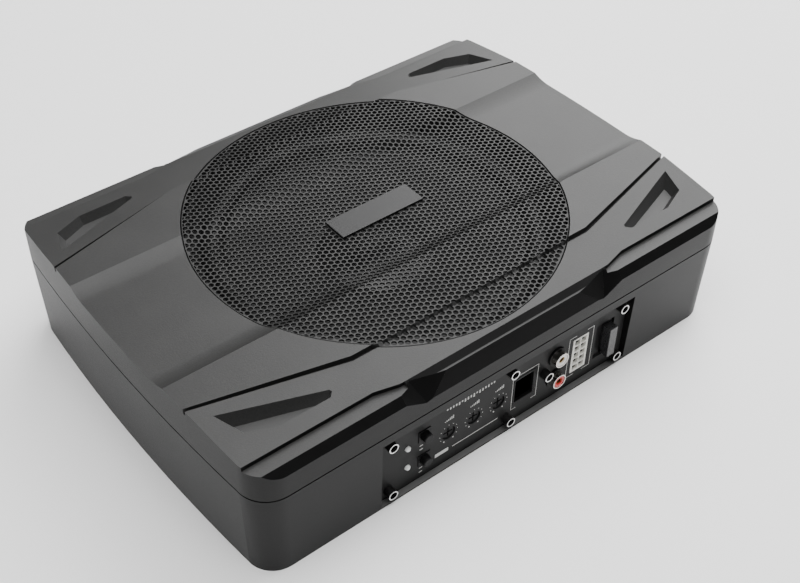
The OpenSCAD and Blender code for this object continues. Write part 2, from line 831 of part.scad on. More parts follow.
module dust_cap() {
    rim = 30;
    rise = 7;
    cap_r = (rim * rim + rise * rise) / (2 * rise);
    base = 43.1;
    color("#202020") intersection() {
        translate([0, 0, base + rise - cap_r]) difference() {
            sphere(r = cap_r, $fn = 192);
            sphere(r = cap_r - 0.8, $fn = 192);
        }
        translate([0, 0, base]) cylinder(h = 12, r = rim + 1);
    }
}

module coil_former() {
    color("#b98a4a") ring(coil_r, coil_r + former_t, 19, cone_z + 1.1);
}

module voice_coil() {
    color("#b5652b") ring(coil_r + former_t, coil_r + former_t + winding_t, 21, 34.5);
}

module terminal_strip() {
    color("#d8c8a0") box(55, 67, -6, 6, 32.4, 34);
    color("silver") for (s = [-1, 1]) box(62, 66.5, s * 3.5 - 1.5, s * 3.5 + 1.5, 28.5, 32.4);
}

module speaker_leads() {
    color("#7a1010") for (s = [-1, 1]) {
        translate([72, s * 3.5, amp_top]) cylinder(h = 20.8, r = 0.9);
        translate([72, s * 3.5, amp_top + 20.8]) sphere(r = 0.9);
        translate([66.5, s * 3.5, amp_top + 20.8]) rotate([0, 90, 0]) cylinder(h = 5.5, r = 0.9);
    }
}

lid();
base_shell();
seam_gasket();
grille();
grille_seal();
badge();
badge_clips();
control_panel();
panel_screws();
power_led();
protect_led();
power_button();
auto_button();
power_switch();
auto_switch();
gain_knob();
crossover_knob();
bass_knob();
gain_pot();
crossover_pot();
bass_pot();
remote_socket();
remote_contacts();
rca_block();
rca_sleeves();
rca_insert_white();
rca_insert_red();
rca_contacts();
power_connector();
connector_pins();
fuse_holder();
fuse_body();
fuse_blades();
control_board();
amp_board();
board_screws();
board_link();
capacitors();
toroid_core();
toroid_winding();
transistors();
heat_bar();
clamp_bar();
clamp_screws();
lid_screws();
driver_screws();
basket();
driver_gasket();
magnet();
top_plate();
yoke();
surround();
spider();
cone();
dust_cap();
coil_former();
voice_coil();
terminal_strip();
speaker_leads();
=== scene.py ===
"""Looks for a powered under-seat subwoofer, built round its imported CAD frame.

The case is a bowed, round-cornered box with a profiled lid, a perforated grille over
an 8 inch driver and a recessed control panel. Sizes are in metres unless a name ends
in mm, +X runs along the case, the control panel faces -Y and +Z is up.
"""

import logging
import math
from dataclasses import dataclass, field
from enum import Enum

import bmesh
import bpy
from mathutils import Matrix, Vector
from mathutils.geometry import tessellate_polygon


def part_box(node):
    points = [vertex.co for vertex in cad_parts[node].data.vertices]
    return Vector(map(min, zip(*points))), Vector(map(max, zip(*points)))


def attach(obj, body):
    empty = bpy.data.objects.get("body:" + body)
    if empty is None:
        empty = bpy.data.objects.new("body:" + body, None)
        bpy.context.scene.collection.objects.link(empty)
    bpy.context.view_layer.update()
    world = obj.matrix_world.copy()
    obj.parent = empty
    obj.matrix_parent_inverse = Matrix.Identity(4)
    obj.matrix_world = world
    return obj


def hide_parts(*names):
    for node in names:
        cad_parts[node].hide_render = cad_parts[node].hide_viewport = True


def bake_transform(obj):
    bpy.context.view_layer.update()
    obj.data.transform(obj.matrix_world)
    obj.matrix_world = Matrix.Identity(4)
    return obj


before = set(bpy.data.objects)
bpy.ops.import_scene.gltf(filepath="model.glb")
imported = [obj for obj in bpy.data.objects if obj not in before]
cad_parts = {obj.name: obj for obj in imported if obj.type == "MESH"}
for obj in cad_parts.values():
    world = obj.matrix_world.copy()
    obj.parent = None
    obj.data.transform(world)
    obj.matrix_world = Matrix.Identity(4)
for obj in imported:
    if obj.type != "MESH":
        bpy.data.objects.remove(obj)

LOG = logging.getLogger("subwoofer")
MM = 0.001
Colour = tuple[float, float, float]
Point = tuple[float, float, float]
Bar = tuple[float, float, float, float]
Tree = bpy.types.NodeTree
Socket = bpy.types.NodeSocket

# Sockets of Blender's Mix node when it mixes colours
MIX_SHARE, MIX_BASE, MIX_TINT, MIX_COLOUR = 0, 6, 7, 2
# The value output of Blender's Wave texture
WAVE_VALUE = 1


def low(node: str) -> Vector:
    """Gives a CAD node's lowest corner, in metres."""
    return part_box(node)[0]


def high(node: str) -> Vector:
    """Gives a CAD node's highest corner, in metres."""
    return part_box(node)[1]


class Pattern(Enum):
    """The surface patterns a finish can carry."""

    COAT = "coat_grain"
    BRUSHED = "brushed_lines"
    WOVEN = "woven_cloth"
    WOUND = "wound_wire"
    BOARD = "board_tracks"
    FIBRE = "pulp_fibre"
    CELLS = "foam_cells"


class Axis(Enum):
    """The direction a brushed or wound finish runs along."""

    X = (1.0, 30.0, 30.0)
    Y = (30.0, 1.0, 30.0)
    NONE = (1.0, 1.0, 1.0)


@dataclass(frozen=True)
class Finish:
    """One surface finish: its colours, its gloss and the pattern worked into it."""

    name: str
    colour: Colour
    tint: Colour
    rough: float
    amount: float = 0.5
    rough_spread: float = 0.08
    metallic: float = 0.0
    specular: float = 0.5
    coat: float = 0.0
    pattern: Pattern = Pattern.COAT
    grain_mm: float = 0.5
    relief_mm: float = 0.02
    axis: Axis = Axis.NONE
    dust: float = 0.0


# The case and the grille
COAT_TOP = Finish("lid_coat", (0.015, 0.015, 0.0148), (0.037, 0.037, 0.0364), 0.41, 0.5,
                  rough_spread=0.035, specular=0.33, grain_mm=0.8, relief_mm=0.075, dust=0.008)
# Painted highlight: a lighter, glossier copy of the lid coat on the lid's rounded edges
COAT_EDGE_HIGHLIGHT = Finish("lid_coat_edge_highlight", (0.06, 0.06, 0.059), (0.09, 0.09, 0.088), 0.32, 0.4,
                   specular=0.5, grain_mm=0.35, relief_mm=0.006)
GROOVE_SHADE = Finish("groove_shade", (0.002, 0.002, 0.002), (0.004, 0.004, 0.004), 0.7, 0.5,
                      specular=0.2, grain_mm=0.4, relief_mm=0.01)
# Painted shade: a darker, duller copy of the coat, on the whole base and on the lid's upright walls
COAT_WALL_SHADE = Finish("coat_wall_shade", (0.006, 0.006, 0.0059), (0.009, 0.009, 0.0088), 0.42, 0.35,
                   rough_spread=0.035, specular=0.165, grain_mm=0.8, relief_mm=0.075)
GRILLE_COAT = Finish("grille_coat", (0.014, 0.014, 0.014), (0.023, 0.023, 0.0226), 0.44, 0.4,
                     specular=0.24, grain_mm=0.25, relief_mm=0.006, dust=0.04)
PANEL_COAT = Finish("panel_coat", (0.013, 0.013, 0.013), (0.02, 0.02, 0.0198), 0.5, 0.5,
                    specular=0.15, grain_mm=0.3, relief_mm=0.02)
# The control panel's marks, badge, screws and controls
PRINT = Finish("panel_print", (0.62, 0.62, 0.6), (0.48, 0.48, 0.46), 0.6, 0.4,
               grain_mm=0.15, relief_mm=0.004)
BADGE_FACE = Finish("badge_face", (0.008, 0.008, 0.0082), (0.014, 0.014, 0.0142), 0.38, 0.6,
                    specular=0.28, pattern=Pattern.BRUSHED, grain_mm=0.12, relief_mm=0.004,
                    axis=Axis.X)
BADGE_EDGE = Finish("badge_edge", (0.03, 0.03, 0.03), (0.06, 0.06, 0.06), 0.3, 0.4,
                    metallic=0.4, pattern=Pattern.BRUSHED, grain_mm=0.2, relief_mm=0.002,
                    axis=Axis.X)
BLACK_OXIDE = Finish("black_oxide", (0.008, 0.008, 0.0085), (0.02, 0.0195, 0.019), 0.4, 0.6,
                     metallic=0.3, specular=0.2, grain_mm=0.3, relief_mm=0.005)
# The screw heads' front rims, near white: partly bare worn metal, partly a painted highlight
WORN_RIM_HIGHLIGHT = Finish("worn_screw_rim_highlight", (0.95, 0.95, 0.94), (0.7, 0.7, 0.69), 0.3, 0.5,
                   metallic=0.3, grain_mm=0.3, relief_mm=0.004)
ZINC = Finish("zinc_plate", (0.5, 0.5, 0.49), (0.62, 0.6, 0.54), 0.32, 0.5,
              metallic=1.0, grain_mm=0.8, relief_mm=0.004)
NICKEL = Finish("nickel_plate", (0.62, 0.6, 0.56), (0.75, 0.73, 0.7), 0.16, 0.5,
                metallic=1.0, grain_mm=0.5, relief_mm=0.002)
GOLD = Finish("gold_flash", (0.83, 0.58, 0.2), (0.95, 0.72, 0.34), 0.22, 0.4,
              metallic=1.0, grain_mm=0.4, relief_mm=0.002)
BLACK_PLASTIC = Finish("black_plastic", (0.003, 0.003, 0.0032), (0.008, 0.008, 0.0082), 0.46, 0.5,
                       specular=0.16, grain_mm=0.18, relief_mm=0.008)
GREY_PLASTIC = Finish("grey_plastic", (0.16, 0.16, 0.165), (0.22, 0.22, 0.225), 0.36, 0.5,
                      grain_mm=0.3, relief_mm=0.006)
WHITE_PLASTIC = Finish("white_plastic", (0.8, 0.8, 0.78), (0.7, 0.69, 0.65), 0.34, 0.4,
                       coat=0.2, grain_mm=0.4, relief_mm=0.004)
RED_PLASTIC = Finish("red_plastic", (0.58, 0.02, 0.02), (0.42, 0.015, 0.015), 0.3, 0.4,
                     coat=0.2, grain_mm=0.4, relief_mm=0.004)
IVORY_PLASTIC = Finish("ivory_plastic", (0.78, 0.77, 0.72), (0.66, 0.64, 0.58), 0.4, 0.4,
                       grain_mm=0.3, relief_mm=0.006)
LED_LENS = Finish("lamp_lens", (0.82, 0.84, 0.82), (0.92, 0.93, 0.9), 0.22, 0.3,
                  coat=0.5, grain_mm=0.5, relief_mm=0.003)
FUSE_SHELL = Finish("fuse_shell", (0.022, 0.022, 0.023), (0.04, 0.04, 0.042), 0.3, 0.4,
                    coat=0.15, grain_mm=0.6, relief_mm=0.004)
# The electronics
SOLDER_MASK = Finish("solder_mask", (0.008, 0.07, 0.028), (0.03, 0.16, 0.06), 0.3, 0.8,
                     coat=0.3, pattern=Pattern.BOARD, grain_mm=1.6, relief_mm=0.03)
CAN_SLEEVE = Finish("can_sleeve", (0.012, 0.018, 0.06), (0.03, 0.04, 0.1), 0.24, 0.4,
                    coat=0.5, grain_mm=1.2, relief_mm=0.01)
FERRITE = Finish("ferrite", (0.03, 0.03, 0.032), (0.06, 0.058, 0.056), 0.55, 0.7,
                 grain_mm=0.35, relief_mm=0.04)
CORE_PAINT = Finish("core_paint", (0.1, 0.16, 0.08), (0.16, 0.22, 0.12), 0.5, 0.5,
                    grain_mm=0.4, relief_mm=0.03)
COPPER_WIRE = Finish("copper_wire", (0.42, 0.15, 0.05), (0.72, 0.32, 0.13), 0.26, 0.8,
                     metallic=0.9, coat=0.4, pattern=Pattern.WOUND, grain_mm=0.9, relief_mm=0.12)
CHIP = Finish("chip_case", (0.014, 0.014, 0.015), (0.03, 0.03, 0.03), 0.52, 0.6,
              grain_mm=0.25, relief_mm=0.012)
PLAIN_ALLOY = Finish("plain_alloy", (0.52, 0.52, 0.53), (0.66, 0.66, 0.66), 0.34, 0.5,
                     metallic=1.0, pattern=Pattern.BRUSHED, grain_mm=0.3, relief_mm=0.01,
                     axis=Axis.Y)
# The driver
BASKET_PAINT = Finish("basket_paint", (0.008, 0.008, 0.0085), (0.015, 0.015, 0.0155), 0.4, 0.5,
                      grain_mm=0.9, relief_mm=0.02)
TURNED_STEEL = Finish("turned_steel", (0.38, 0.38, 0.36), (0.5, 0.49, 0.45), 0.3, 0.6,
                      metallic=1.0, grain_mm=0.5, relief_mm=0.006)
SEAL_FOAM = Finish("seal_foam", (0.012, 0.012, 0.012), (0.03, 0.03, 0.03), 0.9, 0.7,
                   pattern=Pattern.CELLS, grain_mm=0.35, relief_mm=0.12)
ROLL_RUBBER = Finish("roll_rubber", (0.005, 0.005, 0.005), (0.009, 0.009, 0.009), 0.5, 0.5,
                     grain_mm=0.35, relief_mm=0.012)
CONE_PULP = Finish("cone_pulp", (0.006, 0.006, 0.006), (0.013, 0.013, 0.0125), 0.68, 0.8,
                   pattern=Pattern.FIBRE, grain_mm=1.4, relief_mm=0.09)
CAP_PULP = Finish("cap_pulp", (0.008, 0.008, 0.0085), (0.016, 0.016, 0.016), 0.42, 0.7,
                  pattern=Pattern.FIBRE, grain_mm=1.0, relief_mm=0.04)
SPIDER_CLOTH = Finish("spider_cloth", (0.36, 0.2, 0.07), (0.55, 0.34, 0.14), 0.72, 0.9,
                      pattern=Pattern.WOVEN, grain_mm=0.7, relief_mm=0.12)
FORMER_FILM = Finish("former_film", (0.42, 0.22, 0.06), (0.55, 0.3, 0.1), 0.3, 0.5,
                     coat=0.4, grain_mm=0.9, relief_mm=0.006)
PHENOLIC = Finish("phenolic", (0.34, 0.2, 0.09), (0.46, 0.3, 0.15), 0.42, 0.7,
                  pattern=Pattern.FIBRE, grain_mm=0.9, relief_mm=0.01)
LEAD_SLEEVE = Finish("lead_sleeve", (0.28, 0.012, 0.012), (0.4, 0.02, 0.02), 0.4, 0.4,
                     grain_mm=0.5, relief_mm=0.01)
# Painted light and shade on parts of the case, and the studio floor
# Painted light: a lighter, duller coat on the corner pocket floors, where the pocket walls keep the
# reflected light off
POCKET_PAINTED_LIGHT = Finish("pocket_floor", (0.02, 0.02, 0.0197), (0.034, 0.034, 0.0335), 0.5, 0.4,
                      specular=0.4, grain_mm=0.8, relief_mm=0.05)
# Painted light: a pale grey on the ledge below the control panel, deep in the recess's shade
LEDGE_PAINTED_LIGHT = Finish("recess_ledge_painted_light", (0.09, 0.09, 0.089), (0.12, 0.12, 0.119), 0.5, 0.35,
                     specular=0.4, grain_mm=0.42, relief_mm=0.016)
# Painted shade: a near black, dull copy of the lid coat on the sloped facets along the front and back
FACET_SHADE = Finish("lid_coat_facet_shade", (0.0025, 0.0025, 0.0025), (0.004, 0.004, 0.004), 0.42, 0.35,
                     specular=0.09, grain_mm=0.42, relief_mm=0.016)
FLOOR = Finish("studio_floor", (0.95, 0.95, 0.95), (0.97, 0.97, 0.97), 0.8, 0.2,
               specular=0.2, grain_mm=400.0, relief_mm=0.0)

# CAD nodes that are shown as they are, each with its finish
CARRIED = {
    "badge_clips": ZINC, "power_led": LED_LENS, "protect_led": LED_LENS,
    "gain_pot": CORE_PAINT, "crossover_pot": CORE_PAINT, "bass_pot": CORE_PAINT,
    "remote_contacts": GOLD, "rca_contacts": GOLD, "connector_pins": GOLD, "fuse_blades": ZINC,
    "control_board": SOLDER_MASK, "amp_board": SOLDER_MASK, "board_screws": ZINC,
    "board_link": IVORY_PLASTIC, "capacitors": CAN_SLEEVE, "toroid_core": CORE_PAINT,
    "toroid_winding": COPPER_WIRE, "transistors": CHIP, "heat_bar": PLAIN_ALLOY,
    "clamp_bar": PLAIN_ALLOY, "clamp_screws": ZINC, "lid_screws": BLACK_OXIDE,
    "driver_screws": ZINC, "basket": BASKET_PAINT, "driver_gasket": SEAL_FOAM,
    "magnet": FERRITE, "top_plate": TURNED_STEEL, "yoke": TURNED_STEEL, "cone": CONE_PULP,
    "dust_cap": CAP_PULP, "coil_former": FORMER_FILM, "voice_coil": COPPER_WIRE,
    "terminal_strip": PHENOLIC, "speaker_leads": LEAD_SLEEVE, "seam_gasket": SEAL_FOAM,
    "grille_seal": SEAL_FOAM,
}


class EffectShelf:
    """Builds each shared shader effect once, as a node group with named sockets."""

    INPUTS = (("Vector", "NodeSocketVector"), ("Base", "NodeSocketColor"),
              ("Tint", "NodeSocketColor"), ("Amount", "NodeSocketFloat"),
              ("Scale", "NodeSocketFloat"))
    OUTPUTS = (("Color", "NodeSocketColor"), ("Mask", "NodeSocketFloat"),
               ("Height", "NodeSocketFloat"))
    DUST_INPUTS = (("Vector", "NodeSocketVector"), ("Color", "NodeSocketColor"),
                   ("Amount", "NodeSocketFloat"))
    DUST_OUTPUTS = (("Color", "NodeSocketColor"),)
    DUST_COLOUR = (0.4, 0.39, 0.37, 1.0)
    DUST_SCALE = 45.0

    def __init__(self) -> None:
        """Starts with no groups made."""
        self.groups: dict[str, Tree] = {}

    def group(self, pattern: Pattern) -> Tree:
        """Gives the pattern's node group, made on first use.

        Args:
            pattern: the surface pattern wanted.

        Returns:
            The node group.
        """
        if pattern.value not in self.groups:
            tree = self._empty(pattern.value, self.INPUTS, self.OUTPUTS)
            mask, height = getattr(self, "_" + pattern.name.lower())(tree)
            self._close(tree, mask, height)
            self.groups[pattern.value] = tree
        return self.groups[pattern.value]

    @staticmethod
    def _empty(name: str, inputs: tuple[tuple[str, str], ...],
               outputs: tuple[tuple[str, str], ...]) -> Tree:
        """Makes a group that has its sockets and no nodes.

        Args:
            name: the group's name.
            inputs: name and socket type of each input.
            outputs: name and socket type of each output.

        Returns:
            The new group.
        """
        tree = bpy.data.node_groups.new(name, "ShaderNodeTree")
        for way, sockets in (("INPUT", inputs), ("OUTPUT", outputs)):
            for label, kind in sockets:
                tree.interface.new_socket(name=label, in_out=way, socket_type=kind)
        return tree

    @staticmethod
    def _start(tree: Tree) -> bpy.types.Node:
        """Gives the group's input node."""
        found = [node for node in tree.nodes if node.bl_idname == "NodeGroupInput"]
        return found[0] if found else tree.nodes.new("NodeGroupInput")

    def _close(self, tree: Tree, mask: Socket, height: Socket) -> None:
        """Mixes the two colours by the mask and wires the group's outputs.

        Args:
            tree: the group.
            mask: where the tint shows, 0 to 1.
            height: the pattern's relief, 0 to 1.
        """
        start = self._start(tree)
        out = tree.nodes.new("NodeGroupOutput")
        share = self._maths(tree, "MULTIPLY", mask, start.outputs["Amount"])
        mix = tree.nodes.new("ShaderNodeMix")
        mix.data_type = "RGBA"
        tree.links.new(share, mix.inputs[MIX_SHARE])
        tree.links.new(start.outputs["Base"], mix.inputs[MIX_BASE])
        tree.links.new(start.outputs["Tint"], mix.inputs[MIX_TINT])
        tree.links.new(mix.outputs[MIX_COLOUR], out.inputs["Color"])
        tree.links.new(mask, out.inputs["Mask"])
        tree.links.new(height, out.inputs["Height"])

    @staticmethod
    def _maths(tree: Tree, kind: str, a: Socket | float, b: Socket | float = 0.0) -> Socket:
        """Adds one maths node.

        Args:
            tree: where it goes.
            kind: Blender's name of the operation.
            a: first value or socket.
            b: second value or socket.

        Returns:
            The result's socket.
        """
        node = tree.nodes.new("ShaderNodeMath")
        node.operation = kind
        for slot, value in zip(node.inputs, (a, b)):
            if isinstance(value, Socket):
                tree.links.new(value, slot)
            else:
                slot.default_value = value
        return node.outputs[0]

    def _texture(self, tree: Tree, kind: str, times: float) -> bpy.types.Node:
        """Adds a texture at the group's scale times a factor.

        Args:
            tree: where it goes.
            kind: Blender's name of the texture node.
            times: factor on the group's Scale input.

        Returns:
            The texture node.
        """
        start = self._start(tree)
        node = tree.nodes.new(kind)
        tree.links.new(start.outputs["Vector"], node.inputs["Vector"])
        scale = self._maths(tree, "MULTIPLY", start.outputs["Scale"], times)
        tree.links.new(scale, node.inputs["Scale"])
        return node

    def _noise(self, tree: Tree, times: float, detail: float, rough: float = 0.55) -> Socket:
        """Adds a noise at the group's scale times a factor.

        Args:
            tree: where it goes.
            times: factor on the group's Scale input.
            detail: octaves.
            rough: how strong the small octaves are.

        Returns:
            The noise's value socket.
        """
        node = self._texture(tree, "ShaderNodeTexNoise", times)
        node.inputs["Detail"].default_value = detail
        node.inputs["Roughness"].default_value = rough
        return node.outputs[0]

    def _wave(self, tree: Tree, way: str, distortion: float) -> Socket:
        """Adds evenly spaced bands.

        Args:
            tree: where they go.
            way: Blender's name of the direction across the bands.
            distortion: how far the bands wander.

        Returns:
            The bands' value socket.
        """
        node = self._texture(tree, "ShaderNodeTexWave", 0.3)
        node.bands_direction = way
        node.inputs["Distortion"].default_value = distortion
        return node.outputs[WAVE_VALUE]

    @staticmethod
    def _sharpen(tree: Tree, value: Socket, low: float, high: float) -> Socket:
        """Stretches the span low to high onto 0 to 1.

        Args:
            tree: where it goes.
            value: what is stretched.
            low: becomes 0.
            high: becomes 1.

        Returns:
            The stretched value's socket.
        """
        node = tree.nodes.new("ShaderNodeMapRange")
        node.inputs["From Min"].default_value = low
        node.inputs["From Max"].default_value = high
        tree.links.new(value, node.inputs["Value"])
        return node.outputs[0]

    def _coat(self, tree: Tree) -> tuple[Socket, Socket]:
        """Makes a sprayed coat: a fine orange-peel grain with slow, broad changes of shade.

        Args:
            tree: the group.

        Returns:
            The sockets of the mask and the height.
        """
        fine = self._noise(tree, 1.0, 3.0, 0.7)
        broad = self._noise(tree, 0.02, 2.0)
        speckle = self._maths(tree, "MULTIPLY", self._sharpen(tree, fine, 0.3, 0.7), 0.65)
        cloud = self._maths(tree, "MULTIPLY", self._sharpen(tree, broad, 0.3, 0.7), 0.35)
        return self._maths(tree, "ADD", speckle, cloud), fine

    def _brushed(self, tree: Tree) -> tuple[Socket, Socket]:
        """Makes fine parallel scratches along the stretched axis."""
        lines = self._noise(tree, 1.0, 4.0, 0.75)
        return self._sharpen(tree, lines, 0.35, 0.65), lines

    def _woven(self, tree: Tree) -> tuple[Socket, Socket]:
        """Makes two sets of threads that cross over and under each other.

        Args:
            tree: the group.

        Returns:
            The sockets of the mask and the height.
        """
        warp, weft = (self._wave(tree, way, 0.6) for way in ("X", "Y"))
        height = self._maths(tree, "MAXIMUM", warp, weft)
        return self._maths(tree, "MULTIPLY", warp, weft), height

    def _wound(self, tree: Tree) -> tuple[Socket, Socket]:
        """Makes wire laid turn against turn."""
        turns = self._wave(tree, "DIAGONAL", 0.3)
        return turns, turns

    def _board(self, tree: Tree) -> tuple[Socket, Socket]:
        """Makes raised copper tracks under the mask, with wider copper areas.

        Args:
            tree: the group.

        Returns:
            The sockets of the mask and the height.
        """
        cell = self._texture(tree, "ShaderNodeTexVoronoi", 0.35)
        cell.distance = "MANHATTAN"
        cell.feature = "SMOOTH_F1"
        cell.inputs["Smoothness"].default_value = 0.1
        folded = self._maths(tree, "PINGPONG", cell.outputs["Distance"], 0.16)
        tracks = self._sharpen(tree, folded, 0.07, 0.09)
        pour = self._sharpen(tree, self._noise(tree, 0.12, 1.0), 0.5, 0.52)
        mask = self._maths(tree, "MAXIMUM", tracks, pour)
        return mask, mask

    def _fibre(self, tree: Tree) -> tuple[Socket, Socket]:
        """Makes short pressed fibres with lighter flecks.

        Args:
            tree: the group.

        Returns:
            The sockets of the mask and the height.
        """
        coarse = self._noise(tree, 1.0, 6.0, 0.8)
        fleck = self._sharpen(tree, self._noise(tree, 3.0, 2.0), 0.35, 0.7)
        mask = self._maths(tree, "MULTIPLY", self._sharpen(tree, coarse, 0.4, 0.75), fleck)
        return mask, coarse

    def _cells(self, tree: Tree) -> tuple[Socket, Socket]:
        """Makes open foam cells."""
        depth = self._texture(tree, "ShaderNodeTexVoronoi", 1.0).outputs["Distance"]
        return self._sharpen(tree, depth, 0.1, 0.6), depth

    def dust(self) -> Tree:
        """Gives the group that lays a thin patchy dust on faces that look up.

        Returns:
            The node group, made on first use.
        """
        if "resting_dust" not in self.groups:
            tree = self._empty("resting_dust", self.DUST_INPUTS, self.DUST_OUTPUTS)
            start, out = self._start(tree), tree.nodes.new("NodeGroupOutput")
            shape = tree.nodes.new("ShaderNodeNewGeometry")
            split = tree.nodes.new("ShaderNodeSeparateXYZ")
            tree.links.new(shape.outputs["Normal"], split.inputs[0])
            noise = tree.nodes.new("ShaderNodeTexNoise")
            noise.inputs["Scale"].default_value = self.DUST_SCALE
            noise.inputs["Detail"].default_value = 6.0
            tree.links.new(start.outputs["Vector"], noise.inputs["Vector"])
            up = self._sharpen(tree, split.outputs["Z"], 0.7, 1.0)
            patchy = self._sharpen(tree, noise.outputs[0], 0.35, 0.7)
            patch = self._maths(tree, "MULTIPLY", up, patchy)
            share = self._maths(tree, "MULTIPLY", patch, start.outputs["Amount"])
            mix = tree.nodes.new("ShaderNodeMix")
            mix.data_type = "RGBA"
            mix.inputs[MIX_TINT].default_value = self.DUST_COLOUR
            tree.links.new(share, mix.inputs[MIX_SHARE])
            tree.links.new(start.outputs["Color"], mix.inputs[MIX_BASE])
            tree.links.new(mix.outputs[MIX_COLOUR], out.inputs["Color"])
            self.groups["resting_dust"] = tree
        return self.groups["resting_dust"]


class FinishShop:
    """Turns finishes into materials, one material for each finish."""

    COAT_ROUGH = 0.1
    RELIEF_STRENGTH = 0.8
    SMOOTHEST = 0.02

    def __init__(self) -> None:
        """Opens the shop with its shelf of shared effects."""
        self.shelf = EffectShelf()
        self.made: dict[str, bpy.types.Material] = {}

    def material(self, finish: Finish) -> bpy.types.Material:
        """Gives the finish's material, made on first use.

        Args:
            finish: what the surface should look like.

        Returns:
            The material.
        """
        if finish.name not in self.made:
            self.made[finish.name] = self._build(finish)
        return self.made[finish.name]

    def dress(self, piece: bpy.types.Object, *finishes: Finish) -> None:
        """Gives a piece its finishes, the first on all faces that name no other.

        Args:
            piece: what is dressed.
            finishes: one for each material index, in order.
        """
        piece.data.materials.clear()
        for finish in finishes:
            piece.data.materials.append(self.material(finish))

    def _build(self, finish: Finish) -> bpy.types.Material:
        """Builds one material: pattern group, dust, roughness spread and relief.

        Args:
            finish: what the surface should look like.

        Returns:
            The new material.
        """
        material = bpy.data.materials.new(finish.name)
        material.use_nodes = True
        tree = material.node_tree
        shader = tree.nodes["Principled BSDF"]
        where = tree.nodes.new("ShaderNodeTexCoord").outputs["Object"]
        effect = self._effect(tree, finish, where)
        colour = effect.outputs["Color"]
        if finish.dust > 0:
            colour = self._dusted(tree, finish, where, colour)
        tree.links.new(colour, shader.inputs["Base Color"])
        rough = tree.nodes.new("ShaderNodeMapRange")
        rough.inputs["To Min"].default_value = max(self.SMOOTHEST, finish.rough - finish.rough_spread)
        rough.inputs["To Max"].default_value = min(1.0, finish.rough + finish.rough_spread)
        tree.links.new(effect.outputs["Mask"], rough.inputs["Value"])
        tree.links.new(rough.outputs[0], shader.inputs["Roughness"])
        if finish.relief_mm > 0:
            bump = tree.nodes.new("ShaderNodeBump")
            bump.inputs["Distance"].default_value = finish.relief_mm * MM
            bump.inputs["Strength"].default_value = self.RELIEF_STRENGTH
            tree.links.new(effect.outputs["Height"], bump.inputs["Height"])
            tree.links.new(bump.outputs[0], shader.inputs["Normal"])
        shader.inputs["Metallic"].default_value = finish.metallic
        shader.inputs["Specular IOR Level"].default_value = finish.specular
        shader.inputs["Coat Weight"].default_value = finish.coat
        shader.inputs["Coat Roughness"].default_value = self.COAT_ROUGH
        return material

    def _effect(self, tree: Tree, finish: Finish, where: Socket) -> bpy.types.Node:
        """Places the finish's pattern group, with the finish's own values.

        Args:
            tree: the material's nodes.
            finish: what the surface should look like.
            where: the surface coordinate's socket.

        Returns:
            The group's node.
        """
        spread = tree.nodes.new("ShaderNodeMapping")
        spread.inputs["Scale"].default_value = finish.axis.value
        tree.links.new(where, spread.inputs["Vector"])
        effect = tree.nodes.new("ShaderNodeGroup")
        effect.node_tree = self.shelf.group(finish.pattern)
        tree.links.new(spread.outputs[0], effect.inputs["Vector"])
        effect.inputs["Base"].default_value = (*finish.colour, 1.0)
        effect.inputs["Tint"].default_value = (*finish.tint, 1.0)
        effect.inputs["Amount"].default_value = finish.amount
        effect.inputs["Scale"].default_value = 1.0 / (finish.grain_mm * MM) / max(finish.axis.value)
        return effect

    def _dusted(self, tree: Tree, finish: Finish, where: Socket, colour: Socket) -> Socket:
        """Lays the dust group over a colour.

        Args:
            tree: the material's nodes.
            finish: what the surface should look like.
            where: the surface coordinate's socket.
            colour: the clean colour.

        Returns:
            The dusty colour's socket.
        """
        dust = tree.nodes.new("ShaderNodeGroup")
        dust.node_tree = self.shelf.dust()
        dust.inputs["Amount"].default_value = finish.dust
        tree.links.new(where, dust.inputs["Vector"])
        tree.links.new(colour, dust.inputs["Color"])
        return dust.outputs["Color"]


SHOP = FinishShop()


def settle(name: str, mesh: bpy.types.Mesh, body: str) -> bpy.types.Object:
    """Puts a mesh into the scene as a piece that rides on a body.

    Args:
        name: the piece's name.
        mesh: its mesh, in the frame of the CAD.
        body: the CAD body it moves with.

    Returns:
        The new object.
    """
    piece = bpy.data.objects.new(name, mesh)
    bpy.context.scene.collection.objects.link(piece)
    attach(piece, body)
    return piece


def mesh_from(name: str, points: list[Point], faces: list[tuple[int, ...]],
              smooth_deg: float = 30.0) -> bpy.types.Mesh:
    """Makes a shaded mesh from points and faces.

    Args:
        name: the mesh's name.
        points: its vertices.
        faces: index tuples.
        smooth_deg: edges sharper than this stay sharp.

    Returns:
        The mesh.
    """
    mesh = bpy.data.meshes.new(name)
    mesh.from_pydata(points, [], faces)
    mesh.update()
    mesh.shade_smooth()
    mesh.set_sharp_from_angle(angle=math.radians(smooth_deg))
    return mesh


@dataclass(frozen=True)
class Span:
    """A box in millimetres and a way to face, which pick out some of a part's faces."""

    low: Point
    high: Point
    facing: Point
    spread: float = 0.9

    @staticmethod
    def between(a: Point, b: Point, facing: Point, spread: float = 0.9) -> "Span":
        """Makes a span from two opposite corners, given in any order.

        Args:
            a: one corner.
            b: the corner opposite.
            facing: the way the faces look.
            spread: how closely they look that way, 1 for exactly.

        Returns:
            The span.
        """
        return Span(tuple(map(min, a, b)), tuple(map(max, a, b)), facing, spread)

    def holds(self, middle: Vector, normal: Vector) -> bool:
        """Says whether a face is picked.

        Args:
            middle: the face's middle, in metres.
            normal: the way it faces.

        Returns:
            True where the middle is inside and the normal close enough.
        """
        place = middle / MM
        inside = all(a <= v <= b for a, v, b in zip(self.low, place, self.high))
        return inside and normal.dot(Vector(self.facing)) > self.spread


